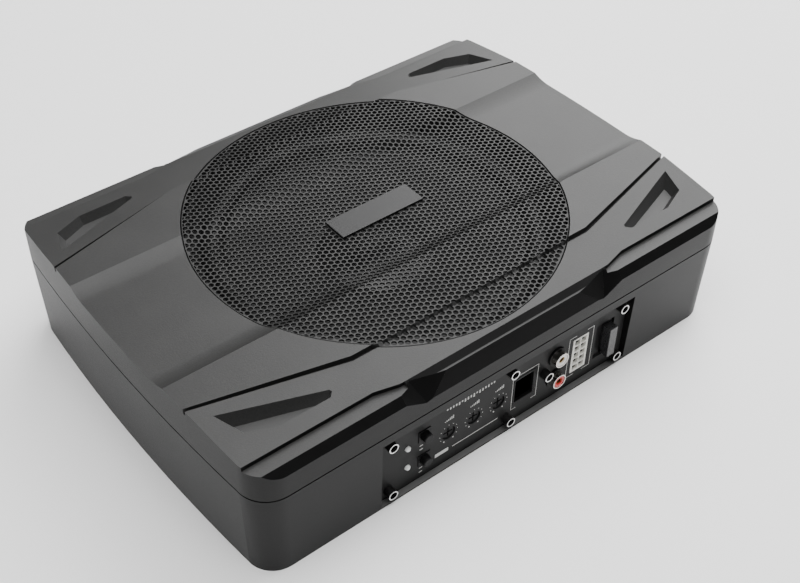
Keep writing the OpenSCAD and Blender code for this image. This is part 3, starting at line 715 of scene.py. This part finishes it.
@dataclass
class CastPart:
    """A CAD node shown as a cleaned copy with rounded edges and its own finish."""

    node: str
    finish: Finish
    slot: str
    edge: Finish | None = None
    round_mm: float = 0.3
    segments: int = 2
    angle_deg: float = 24.0
    body: str = "case"
    merge: bool = True
    painted: tuple[tuple[Finish, Span], ...] = ()
    weld: float = 0.002 * MM
    flat_deg: float = 0.15
    first_paint: int = 2  # after the finish and its edge

    def build(self) -> bpy.types.Object:
        """Copies the node, welds it, merges its flat triangles and rounds its edges.

        Returns:
            The piece that stands for the node.
        """
        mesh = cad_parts[self.node].data.copy()
        mesh.name = self.node + "_finished"
        work = bmesh.new()
        work.from_mesh(mesh)
        bmesh.ops.remove_doubles(work, verts=work.verts, dist=self.weld)
        if self.merge:
            bmesh.ops.dissolve_limit(work, angle_limit=math.radians(self.flat_deg),
                                     verts=work.verts, edges=work.edges)
        work.faces.ensure_lookup_table()
        marks = [self._paint(face) for face in work.faces]
        for face in work.faces:
            face.smooth = True
        work.to_mesh(mesh)
        work.free()
        if "custom_normal" in mesh.attributes:
            mesh.attributes.remove(mesh.attributes["custom_normal"])
        mesh.set_sharp_from_angle(angle=math.radians(self.angle_deg))
        piece = settle(self.node + "_finished", mesh, self.body)
        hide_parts(self.node)
        SHOP.dress(piece, self.finish, self.edge or self.finish,
                   *(finish for finish, _ in self.painted))
        mesh.polygons.foreach_set("material_index", marks)
        self._round(piece)
        LOG.info("%s: rounded %.2f mm", piece.name, self.round_mm)
        return piece

    def _round(self, piece: bpy.types.Object) -> None:
        """Rounds the sharp edges.

        Args:
            piece: what is rounded.
        """
        bevel = piece.modifiers.new("rounded_edges", "BEVEL")
        bevel.width = self.round_mm * MM
        bevel.segments = self.segments
        bevel.limit_method = "ANGLE"
        bevel.angle_limit = math.radians(self.angle_deg)
        bevel.use_clamp_overlap = True
        bevel.harden_normals = True
        bevel.miter_outer = "MITER_ARC"
        if self.edge:
            bevel.material = 1

    def _paint(self, face: bmesh.types.BMFace) -> int:
        """Gives the material index for a face: that of the first span that holds its middle.

        Args:
            face: the face.

        Returns:
            The index, 0 where no span holds it.
        """
        middle = face.calc_center_median()
        for index, (_, span) in enumerate(self.painted):
            if span.holds(middle, face.normal):
                return index + self.first_paint
        return 0


@dataclass
class PerforatedGrille:
    """The profiled round sheet with its close hexagonal pattern of holes."""

    radius: float = high("grille").x - 0.15 * MM
    web_limit: float = radius - 0.33 * MM
    hole_limit: float = radius - 0.45 * MM
    pitch: float = 3.03 * MM
    hole_r: float = 1.29 * MM
    sheet: float = 1.0 * MM
    rim_low: float = low("grille").z
    top: float = high("grille").z
    channel_deep: float = 2.6 * MM
    channel_flat: float = 29.0 * MM
    channel_edge: float = 40.4 * MM
    step_in: float = 74.2 * MM
    step_out: float = 74.9 * MM
    panel_y: float = 57.0 * MM
    panel_drop: float = 0.25 * MM
    panel_slope: float = 0.075
    dish: float = 0.05 * MM
    rim_soft: float = 0.25 * MM
    rim_flat: float = 0.2 * MM
    reach: float = 0.5 * MM
    corners: int = 12
    snap: float = 0.004 * MM
    points: list[Point] = field(default_factory=list)
    faces: list[tuple[int, ...]] = field(default_factory=list)

    def height(self, y: float) -> float:
        """Gives the sheet's upper surface at a distance from the long axis.

        Args:
            y: the distance, either side.

        Returns:
            The surface's height.
        """
        a, top = abs(y), self.top
        outer = top - self.panel_drop - self.panel_slope * (max(a, self.step_out) - self.panel_y)
        if a < self.channel_flat:
            return top - self.channel_deep
        if a < self.channel_edge:
            t = (a - self.channel_flat) / (self.channel_edge - self.channel_flat)
            return top - self.channel_deep * (1 - t * t)
        if a < self.step_in:
            return top
        if a < self.step_out:
            t = (a - self.step_in) / (self.step_out - self.step_in)
            return top + (outer - top) * t
        return outer

    def _cells(self) -> list[tuple[float, float]]:
        """Gives the centres of every hole that shows, whole or cut by the rim.

        Returns:
            The centres, x and y.
        """
        across = self.pitch * math.sqrt(3) / 2
        reach = int(self.radius / across) + 1
        found = []
        for i in range(-reach, reach + 1):
            for j in range(-reach - 4, reach + 5):
                x, y = i * across, (j + 0.5 * (i % 2)) * self.pitch
                if math.hypot(x, y) < self.hole_limit + self.reach:
                    found.append((x, y))
        return found

    def _point(self, x: float, y: float, down: float = 0.0, limit: float = 1.0) -> int:
        """Adds a vertex at or below the sheet's surface.

        Args:
            x: where it is wanted along the case.
            y: where it is wanted across the case.
            down: how far below the surface it lies.
            limit: how far from the middle it may be.

        Returns:
            Its index.
        """
        r = math.hypot(x, y)
        if r > limit:
            x, y = x * limit / r, y * limit / r
        self.points.append((x, y, self.height(y) - down))
        return len(self.points) - 1

    def build(self) -> bpy.types.Object:
        """Builds the sheet, its holes and its rolled rim.

        Returns:
            The grille piece.
        """
        shared: dict[tuple[int, int], int] = {}
        edges: list[tuple[int, int]] = []
        for cx, cy in self._cells():
            edges += self._cell(cx, cy, shared)
        self._rim(self._outline(edges))
        mesh = mesh_from("grille_sheet", self.points, self.faces, 40.0)
        piece = settle("grille_perforated", mesh, "case")
        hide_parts("grille")
        SHOP.dress(piece, GRILLE_COAT)
        LOG.info("%s: %d faces", piece.name, len(self.faces))
        return piece

    def _cell(self, cx: float, cy: float, shared: dict[tuple[int, int], int]) -> list[tuple[int, int]]:
        """Builds one six-sided cell of the sheet round its hole.

        Args:
            cx: the hole's centre along the case.
            cy: the hole's centre across the case.
            shared: the corners made so far, which neighbours use again.

        Returns:
            The cell's outer edges, as pairs of corners.
        """
        ring, hole, deep = [], [], []
        for k in range(self.corners):
            a = math.tau * k / self.corners
            r = self.pitch / math.sqrt(3) if k % 2 == 0 else self.pitch / 2
            ring.append(self._shared(cx + r * math.cos(a), cy + r * math.sin(a), shared))
            hx, hy = cx + self.hole_r * math.cos(a), cy + self.hole_r * math.sin(a)
            hole.append(self._point(hx, hy, self.dish, self.hole_limit))
            deep.append(self._point(hx, hy, self.sheet, self.hole_limit))
        for k in range(self.corners):
            n = (k + 1) % self.corners
            self.faces.append((ring[k], ring[n], hole[n], hole[k]))
            self.faces.append((hole[k], hole[n], deep[n], deep[k]))
        return list(zip(ring, ring[1:] + ring[:1]))

    def _shared(self, x: float, y: float, shared: dict[tuple[int, int], int]) -> int:
        """Gives the corner at a place, made once and used by every cell that meets there.

        Args:
            x: the place along the case.
            y: the place across the case.
            shared: the corners made so far, by place in steps of snap.

        Returns:
            The corner's index.
        """
        key = (round(x / self.snap), round(y / self.snap))
        for u in (-1, 0, 1):
            for v in (-1, 0, 1):
                if (key[0] + u, key[1] + v) in shared:
                    return shared[(key[0] + u, key[1] + v)]
        shared[key] = self._point(x, y, 0.0, self.web_limit)
        return shared[key]

    @staticmethod
    def _outline(edges: list[tuple[int, int]]) -> list[int]:
        """Walks the lattice's outer edge.

        Args:
            edges: every cell's directed edges.

        Returns:
            The outer loop's vertex indices in order.
        """
        known = set(edges)
        following = {a: b for a, b in edges if (b, a) not in known}
        first = next(iter(following))
        loop, at = [first], following[first]
        while at != first:
            loop.append(at)
            at = following[at]
        return loop

    def _rim(self, outline: list[int], steps: int = 384) -> None:
        """Joins the lattice to the round rim and turns the rim down.

        Args:
            outline: the lattice's outer loop.
            steps: points round the rim.
        """
        flat, soft, foot, inner = [], [], [], []
        for k in range(steps):
            a = math.tau * k / steps
            c, s = math.cos(a), math.sin(a)
            inside = self.radius - self.rim_flat
            flat.append(self._point(inside * c, inside * s))
            soft.append(self._point(self.radius * c, self.radius * s, self.rim_soft))
            self.points.append((self.radius * c, self.radius * s, self.rim_low))
            foot.append(len(self.points) - 1)
            bore = self.radius - self.sheet
            self.points.append((bore * c, bore * s, self.rim_low))
            inner.append(len(self.points) - 1)
        order = flat + outline
        loops = [[Vector((*self.points[i][:2], 0)) for i in part] for part in (flat, outline)]
        for tri in tessellate_polygon(loops):
            a, b, c = (order[i] for i in tri)
            u = Vector(self.points[b]) - Vector(self.points[a])
            v = Vector(self.points[c]) - Vector(self.points[a])
            self.faces.append((a, b, c) if u.cross(v).z > 0 else (a, c, b))
        for k in range(steps):
            n = (k + 1) % steps
            for top, under in ((flat, soft), (soft, foot), (foot, inner)):
                self.faces.append((top[k], under[k], under[n], top[n]))


@dataclass
class RollingRing:
    """A soft ring between the frame and the cone, cut in sectors."""

    name: str
    node: str
    slot: str
    finish: Finish
    profile: list[tuple[float, float]]
    inner: float
    outer: float
    thick: float
    sectors: int = 24
    steps: int = 10

    def build(self) -> list[bpy.types.Object]:
        """Builds every sector.

        Returns:
            The sector pieces.
        """
        made = [self._sector(s) for s in range(self.sectors)]
        LOG.info("%s: %d sectors", self.name, self.sectors)
        return made

    def _sector(self, s: int) -> bpy.types.Object:
        """Builds one sector.

        Args:
            s: the sector's number.

        Returns:
            The piece.
        """
        half = math.pi / self.sectors
        middle = math.tau * s / self.sectors
        count = len(self.profile)
        points: list[Point] = []
        for k in range(self.steps + 1):
            a = middle - half + 2 * half * k / self.steps
            for offset in (0.0, -self.thick):
                points += [(r * math.cos(a), r * math.sin(a), z + offset) for r, z in self.profile]
        faces: list[tuple[int, ...]] = []
        for k in range(self.steps):
            near, far = k * 2 * count, (k + 1) * 2 * count
            for i in range(count - 1):
                a, b = near + i, far + i
                faces.append((a, a + 1, b + 1, b))
                faces.append((a + count, b + count, b + count + 1, a + count + 1))
            faces.append((near, far, far + count, near + count))
            a, b = near + count - 1, far + count - 1
            faces.append((a, a + count, b + count, b))
        name = f"{self.name}_{s:02d}"
        piece = bpy.data.objects.new(name, mesh_from(name, points, faces, 50.0))
        bpy.context.scene.collection.objects.link(piece)
        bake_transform(piece)
        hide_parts(self.node)
        SHOP.dress(piece, self.finish)
        return piece


@dataclass
class Driver:
    """The soft parts of the driver: its outer half roll and its corrugated ring."""

    land: float = low("surround").z
    shelf: float = low("spider").z
    sheet: float = 0.8 * MM
    roll_mid: float = 80.5 * MM
    roll_r: float = 6.1 * MM
    roll_steps: int = 16
    roll_outer: tuple[float, float] = (high("surround").x, 86.9 * MM)
    roll_inner: tuple[float, float] = (74.2 * MM, 72.2 * MM)
    roll_bend: tuple[float, float] = (75.6 * MM, 86.2 * MM)
    roll_thick: float = 0.7 * MM
    fold_outer: tuple[float, float] = (high("spider").x, 51.6 * MM)
    fold_inner: tuple[float, float] = (28.2 * MM, high("coil_former").x)
    fold_from: float = 51.2 * MM
    fold_run: float = 22.8 * MM
    fold_count: int = 4
    fold_steps: int = 48
    fold_rise: float = 0.9 * MM
    fold_bend: tuple[float, float] = (28.4 * MM, 51.4 * MM)
    fold_thick: float = 0.6 * MM

    def build(self) -> None:
        """Builds the half roll surround and the corrugated spider."""
        RollingRing("surround_roll", "surround", "surround_foam", ROLL_RUBBER, self._roll(),
                    *self.roll_bend, self.roll_thick).build()
        RollingRing("spider_fold", "spider", "spider_cloth", SPIDER_CLOTH, self._folds(),
                    *self.fold_bend, self.fold_thick).build()

    def _roll(self) -> list[tuple[float, float]]:
        """Gives the surround's section, from its outer lip over the roll to its inner lip.

        Returns:
            The section's points, as radius and height.
        """
        top = self.land + self.sheet
        roll = [(r, top) for r in self.roll_outer]
        for k in range(1, self.roll_steps):
            a = math.pi * k / self.roll_steps
            roll.append((self.roll_mid + self.roll_r * math.cos(a), self.land + self.roll_r * math.sin(a)))
        return roll + [(r, top) for r in self.roll_inner]

    def _folds(self) -> list[tuple[float, float]]:
        """Gives the spider's section, from its outer land over the folds to the former.

        Returns:
            The section's points, as radius and height.
        """
        base = self.shelf + self.sheet
        folds = [(r, base) for r in self.fold_outer]
        for k in range(1, self.fold_steps):
            t = k / self.fold_steps
            rise = (1.0 - math.cos(math.tau * self.fold_count * t)) * self.fold_rise
            folds.append((self.fold_from - self.fold_run * t, base + rise))
        return folds + [(r, base) for r in self.fold_inner]


@dataclass
class PanelPrint:
    """The marks on the control panel, and a painted shadow along two of its edges, as a thin film: x and z
    in millimetres on its face.
    """

    face: float = low("control_panel").y - 0.03 * MM
    film: float = 0.06 * MM
    line: float = 0.28
    controls: tuple[str, ...] = ("gain_pot", "crossover_pot", "bass_pot")
    scale_r: float = 5.3
    scale_sweep: float = 298.0
    scale_dots: int = 11
    end_dot: float = 0.42
    dot: float = 0.24
    wedge_steps: int = 6
    wedge_left: float = 2.6
    wedge_foot: float = 29.0
    wedge_pitch: float = 0.95
    wedge_wide: float = 0.5
    wedge_rise: float = 0.32
    wave_bars: int = 17
    wave_left: float = -38.0
    wave_middle: float = 37.0
    wave_pitch: float = 1.75
    wave_wide: float = 0.85
    wave_low: float = 1.1
    wave_swell: float = 2.6
    wave_turn: float = 1.9
    bracket_wide: float = 16.4
    bracket_lap: float = 0.3
    tick_left: float = -53.4
    tick_z: tuple[float, ...] = (23.1, 20.6, 7.8, 5.0)
    tick_size: tuple[float, float] = (1.9, 0.5)
    foot_marks: tuple[Bar, ...] = ((-44.0, 8.4, 8.0, 2.2), (-33.6, 9.2, 28.0, 0.4))
    # Painted shadow: black strips along the panel's left edge and foot, where the gap to the case is
    gap_shadow_inset: float = 0.1
    gap_shadow_left: float = 0.45
    gap_shadow_foot: float = 0.4
    points: list[Point] = field(default_factory=list)
    faces: list[tuple[int, ...]] = field(default_factory=list)

    def _centres(self) -> list[tuple[float, float]]:
        """Gives the middle of each rotary control on the panel's face, as x and z."""
        middles = [(low(node) + high(node)) / 2 / MM for node in self.controls]
        return [(middle.x, middle.z) for middle in middles]

    def _scales(self) -> None:
        """Prints the dots round each rotary control."""
        for x, z in self._centres():
            for k in range(self.scale_dots):
                a = math.radians(self.scale_sweep * (k / (self.scale_dots - 1) - 0.5))
                r = self.end_dot if k in (0, self.scale_dots - 1) else self.dot
                self._dot(x + self.scale_r * math.sin(a), z + self.scale_r * math.cos(a), r)

    def _brackets(self) -> list[Bar]:
        """Lays out the lines round the sockets and beside the buttons and lamps.

        Returns:
            The bars, each as left, foot, width and height.
        """
        bars = self._bracket(left=2.7, foot=9.2, tall=21.6, top_arm=self.bracket_wide, foot_arm=3.3)
        bars += self._bracket(left=38.9, foot=7.6, tall=26.6, top_arm=4.6, foot_arm=5.4)
        return bars + [(self.tick_left, z, *self.tick_size) for z in self.tick_z]

    def _bracket(self, left: float, foot: float, tall: float, top_arm: float,
                 foot_arm: float) -> list[Bar]:
        """Lays out a pair of square brackets.

        Args:
            left: the left bracket's outer edge.
            foot: the brackets' lower edge.
            tall: the length of their upright lines.
            top_arm: the length of their upper arms, which may be the whole width.
            foot_arm: the length of their lower arms.

        Returns:
            The bars, each as left, foot, width and height.
        """
        right, top = left + self.bracket_wide, foot + tall - 0.2
        bars = [(left, foot, self.line, tall), (right - self.bracket_lap, foot, self.line, tall)]
        for z, arm in ((top, top_arm), (foot, foot_arm)):
            starts = (left,) if arm == self.bracket_wide else (left, right - arm)
            bars += [(x, z, arm, self.line) for x in starts]
        return bars

    def _signs(self) -> list[Bar]:
        """Lays out the level wedges, the row of sound-wave bars and the line along the foot.

        Returns:
            The bars, each as left, foot, width and height.
        """
        bars = [(x - self.wedge_left + self.wedge_pitch * k, self.wedge_foot, self.wedge_wide,
                 self.wedge_wide + self.wedge_rise * k)
                for x, _ in self._centres() for k in range(self.wedge_steps)]
        for k in range(self.wave_bars):
            swell = math.sin(math.pi * (k + 1) / (self.wave_bars + 1))
            tall = self.wave_low + self.wave_swell * abs(math.sin(self.wave_turn * k)) * swell
            left = self.wave_left + self.wave_pitch * k
            bars.append((left, self.wave_middle - tall / 2, self.wave_wide, tall))
        return bars + list(self.foot_marks)

    def _extrude(self, outline: list[tuple[float, float]]) -> None:
        """Adds one mark from its outline.

        Args:
            outline: its corners, as x and z.
        """
        n, base = len(outline), len(self.points)
        for y in (self.face, self.face + self.film):
            self.points.extend((x * MM, y, z * MM) for x, z in outline)
        self.faces.append(tuple(range(base, base + n)))
        for k in range(n):
            m = (k + 1) % n
            self.faces.append((base + k, base + n + k, base + n + m, base + m))

    def _dot(self, x: float, z: float, r: float, corners: int = 12) -> None:
        """Adds one round mark.

        Args:
            x: its centre along the panel.
            z: its centre's height.
            r: its radius.
            corners: how many corners stand for the circle.
        """
        turns = [math.tau * k / corners for k in range(corners)]
        self._extrude([(x + r * math.cos(a), z + r * math.sin(a)) for a in turns])

    def _bars(self, bars: list[Bar]) -> None:
        """Adds straight marks.

        Args:
            bars: each as left, foot, width and height.
        """
        for x, z, w, h in bars:
            self._extrude([(x, z), (x + w, z), (x + w, z + h), (x, z + h)])

    def build(self) -> bpy.types.Object:
        """Builds every mark as a raised film, and a black film of painted shadow along two of the panel's
        edges, where the gap to the case is.

        Returns:
            The print piece.
        """
        self._scales()
        self._bars(self._brackets() + self._signs())
        light = len(self.faces)
        # The faces from here on are the painted shadow along the panel's left edge and foot
        corner, size = low("control_panel") / MM, (high("control_panel") - low("control_panel")) / MM
        left, foot = corner.x + self.gap_shadow_inset, corner.z + self.gap_shadow_inset
        self._bars([(left, foot, self.gap_shadow_left, size.z - 2 * self.gap_shadow_inset),
                    (left, foot, size.x - 2 * self.gap_shadow_inset, self.gap_shadow_foot)])
        piece = settle("panel_print", mesh_from("panel_print", self.points, self.faces), "case")
        SHOP.dress(piece, PRINT, GROOVE_SHADE)
        for face in piece.data.polygons[light:]:
            face.material_index = 1
        LOG.info("%s: %d faces", piece.name, len(self.faces))
        return piece


@dataclass
class ControlPanel:
    """The panel, its controls, sockets and fuse."""

    fine_mm: float = 0.15
    moulded_mm: float = 0.2
    # The screw heads' front rims, painted near white: partly wear, partly a painted highlight
    screw_rims: Span = Span((-80, -105.2, 0), (80, -104.9, 45), (0, -1, 0))

    def build(self) -> None:
        """Builds every part of the panel with rounded edges, then prints its marks."""
        parts = [
            CastPart("control_panel", PANEL_COAT, "panel_steel", round_mm=self.fine_mm),
            CastPart("panel_screws", BLACK_OXIDE, "black_screw", round_mm=0.04, angle_deg=35,
                     painted=((WORN_RIM_HIGHLIGHT, self.screw_rims),)),
        ]
        for node in ("power_button", "auto_button", "power_switch", "auto_switch",
                     "gain_knob", "crossover_knob", "bass_knob"):
            body = "case" if node.endswith("switch") else node
            parts.append(CastPart(node, BLACK_PLASTIC, "black_plastic", round_mm=self.fine_mm, body=body))
        parts += [
            CastPart("remote_socket", BLACK_PLASTIC, "black_plastic", round_mm=self.moulded_mm),
            CastPart("rca_block", BLACK_PLASTIC, "black_plastic", round_mm=self.moulded_mm),
            CastPart("rca_sleeves", NICKEL, "nickel", round_mm=0.1),
            CastPart("rca_insert_white", WHITE_PLASTIC, "white_plastic", round_mm=self.moulded_mm),
            CastPart("rca_insert_red", RED_PLASTIC, "red_plastic", round_mm=self.moulded_mm),
            CastPart("power_connector", IVORY_PLASTIC, "ivory_plastic", round_mm=0.12, merge=False),
            CastPart("fuse_holder", BLACK_PLASTIC, "black_plastic", round_mm=self.moulded_mm),
            CastPart("fuse_body", FUSE_SHELL, "fuse_plastic", round_mm=0.3, body="fuse"),
        ]
        for part in parts:
            part.build()
        PanelPrint().build()


@dataclass
class Case:
    """The lid, the base, the grille and the badge. The spans of painted light and shade are in
    millimetres.
    """

    end: float = high("lid").x / MM + 1.0
    side: float = high("lid").y / MM + 1.0
    top: float = high("lid").z / MM
    wall_foot: float = 48.0
    groove_y: tuple[float, float] = (52.5, 76.5)
    groove_z: tuple[float, float] = (67.2, 67.4)
    pocket_x: tuple[float, float] = (86.0, 136.0)
    pocket_y: tuple[float, float] = (66.0, 87.0)
    pocket_z: tuple[float, float] = (63.2, 63.7)
    step_y: tuple[float, float] = (92.5, 97.6)
    step_z: tuple[float, float] = (64.5, 68.2)
    facet_y: tuple[float, float] = (96.0, side)
    facet_z: tuple[float, float] = (57.5, 69.5)
    end_wall_x: tuple[float, float] = (124.0, end)
    # The ledge below the control panel, painted lighter as painted light
    ledge: Span = Span((-78, -105.1, 1.0), (78, -98, 1.4), (0, 0, 1))

    def _side_spans(self, side: int) -> list[tuple[Finish, Span]]:
        """Gives the painted light and shade on one long side of the lid.

        Args:
            side: 1 for the back, -1 for the front.

        Returns:
            Each span with its finish, nearest the middle first.
        """
        def along(y: tuple[float, float], z: tuple[float, float], facing: Point,
                  spread: float) -> Span:
            """Makes a span as long as the case.

            Args:
                y: nearest and furthest from the middle.
                z: lowest and highest.
                facing: the way the faces look.
                spread: how closely they look that way.

            Returns:
                The span.
            """
            return Span.between((-self.end, side * y[0], z[0]), (self.end, side * y[1], z[1]),
                                facing, spread)

        # Painted light on the floors of the corner pockets
        pockets = [
            (POCKET_PAINTED_LIGHT, Span.between((u * self.pocket_x[0], side * self.pocket_y[0], self.pocket_z[0]),
                                        (u * self.pocket_x[1], side * self.pocket_y[1], self.pocket_z[1]),
                                        (0, 0, 1)))
            for u in (-1, 1)
        ]
        # Painted shade: near black groove floors and step walls, near black sloped facets, and the darker
        # wall coat on the upright side
        return [
            (GROOVE_SHADE, along(self.groove_y, self.groove_z, (0, 0, 1), 0.9)),
            *pockets,
            (GROOVE_SHADE, along(self.step_y, self.step_z, (0, side, 0), 0.6)),
            (FACET_SHADE, along(self.facet_y, self.facet_z, (0, 0.8 * side, 0.6), 0.85)),
            (COAT_WALL_SHADE, along(self.facet_y, (self.wall_foot, self.top), (0, side, 0), 0.6)),
        ]

    def _end_span(self, side: int) -> tuple[Finish, Span]:
        """Gives the painted shade on one end wall of the lid: the darker wall coat.

        Args:
            side: 1 for the right end, -1 for the left end.

        Returns:
            The span with its finish.
        """
        near, far = (side * x for x in self.end_wall_x)
        return COAT_WALL_SHADE, Span.between((near, -self.side, self.wall_foot), (far, self.side, self.top),
                                       (side, 0, 0), 0.75)

    def build(self) -> None:
        """Builds the outside of the case."""
        # Painted light and shade on the lid, both long sides then both ends; the lid's rounded edges take
        # the painted highlight
        painted = self._side_spans(-1) + self._side_spans(1) + [self._end_span(-1), self._end_span(1)]
        CastPart("lid", COAT_TOP, "lid_cast", COAT_EDGE_HIGHLIGHT, round_mm=0.32, angle_deg=14.0,
                 painted=tuple(painted)).build()
        # The base in the darker wall coat, a painted shade; its ledge in painted light
        CastPart("base_shell", COAT_WALL_SHADE, "base_cast", round_mm=0.4, angle_deg=30.0,
                 painted=((LEDGE_PAINTED_LIGHT, self.ledge),)).build()
        PerforatedGrille().build()
        CastPart("badge", BADGE_FACE, "badge_metal", BADGE_EDGE, round_mm=0.25, angle_deg=40.0).build()


@dataclass(frozen=True)
class SoftLight:
    """One soft rectangular light."""

    name: str
    place: Point
    aim: Point
    size: tuple[float, float]
    watts: float

    def hang(self) -> None:
        """Puts the light into the scene, turned to its aim."""
        data = bpy.data.lights.new(self.name, "AREA")
        data.shape = "RECTANGLE"
        data.size, data.size_y = self.size
        data.energy = self.watts
        light = bpy.data.objects.new(self.name, data)
        light.location = self.place
        light.rotation_mode = "QUATERNION"
        way = Vector(self.aim) - Vector(self.place)
        light.rotation_quaternion = way.to_track_quat("-Z", "Y")
        bpy.context.scene.collection.objects.link(light)


@dataclass
class Studio:
    """The floor, the soft lights and the camera."""

    target: Vector = field(default_factory=lambda: Vector((-7.56, -24.45, 35.0)) * MM)
    azimuth: float = -38.924
    elevation: float = 42.545
    roll: float = 0.651
    distance: float = 0.6278
    lens: float = 57.33
    shift: tuple[float, float] = (0.0076, 0.003)
    floor_half: float = 1.7
    air_light: float = 0.05
    backdrop: float = 0.85
    lights: tuple[SoftLight, ...] = (
        SoftLight("window_light", (1.28, 0.5, 1.12), (0, 0, 0.05), (1.9, 1.9), 66),
        SoftLight("side_fill", (0.3, 1.6, 1.0), (0, 0, 0.05), (1.4, 0.9), 2),
        SoftLight("ceiling_light", (-0.2, -0.2, 1.7), (0, 0, 0), (1.6, 1.6), 48),
    )

    def build(self) -> None:
        """Sets up the whole studio."""
        self._floor()
        self._lights()
        self._camera()

    def _floor(self) -> None:
        """Lays a wide plain floor."""
        s = self.floor_half
        mesh = mesh_from("studio_floor", [(-s, -s, 0), (s, -s, 0), (s, s, 0), (-s, s, 0)], [(0, 1, 2, 3)])
        floor = bpy.data.objects.new("studio_floor", mesh)
        bpy.context.scene.collection.objects.link(floor)
        SHOP.dress(floor, FLOOR)

    def _lights(self) -> None:
        """Hangs the lights and sets the soft surround light and the pale backdrop."""
        for light in self.lights:
            light.hang()
        world = bpy.data.worlds.new("studio_air")
        world.use_nodes = True
        tree = world.node_tree
        air, wall = tree.nodes["Background"], tree.nodes.new("ShaderNodeBackground")
        for node, strength in ((air, self.air_light), (wall, self.backdrop)):
            node.inputs["Color"].default_value = (1, 1, 1, 1)
            node.inputs["Strength"].default_value = strength
        path, pick = tree.nodes.new("ShaderNodeLightPath"), tree.nodes.new("ShaderNodeMixShader")
        tree.links.new(path.outputs["Is Camera Ray"], pick.inputs[0])
        tree.links.new(air.outputs[0], pick.inputs[1])
        tree.links.new(wall.outputs[0], pick.inputs[2])
        tree.links.new(pick.outputs[0], tree.nodes["World Output"].inputs[0])
        bpy.context.scene.world = world

    def _camera(self) -> None:
        """Places the camera at its azimuth, elevation and roll round the target."""
        a, e, r = (math.radians(v) for v in (self.azimuth, self.elevation, self.roll))
        back = Vector((math.sin(a) * math.cos(e), -math.cos(a) * math.cos(e), math.sin(e)))
        right = Vector((math.cos(a), math.sin(a), 0))
        up = back.cross(right)
        right, up = right * math.cos(r) + up * math.sin(r), up * math.cos(r) - right * math.sin(r)
        data = bpy.data.cameras.new("camera")
        data.lens, data.sensor_width = self.lens, 36.0
        data.shift_x, data.shift_y = self.shift
        data.clip_start, data.clip_end = 0.01, 50.0
        camera = bpy.data.objects.new("camera", data)
        turn = Matrix((right, up, back)).transposed().to_4x4()
        camera.matrix_world = Matrix.Translation(self.target + back * self.distance) @ turn
        bpy.context.scene.collection.objects.link(camera)
        bpy.context.scene.camera = camera


def dress_carried() -> None:
    """Gives every CAD node that is shown as it is its finish."""
    for node, finish in CARRIED.items():
        SHOP.dress(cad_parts[node], finish)
        LOG.info("%s: %s", node, finish.name)


def main() -> None:
    """Builds the studio and the subwoofer."""
    logging.basicConfig(level=logging.INFO, format="%(message)s")
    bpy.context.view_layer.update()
    Studio().build()
    Case().build()
    ControlPanel().build()
    Driver().build()
    dress_carried()


if __name__ == "__main__":
    main()
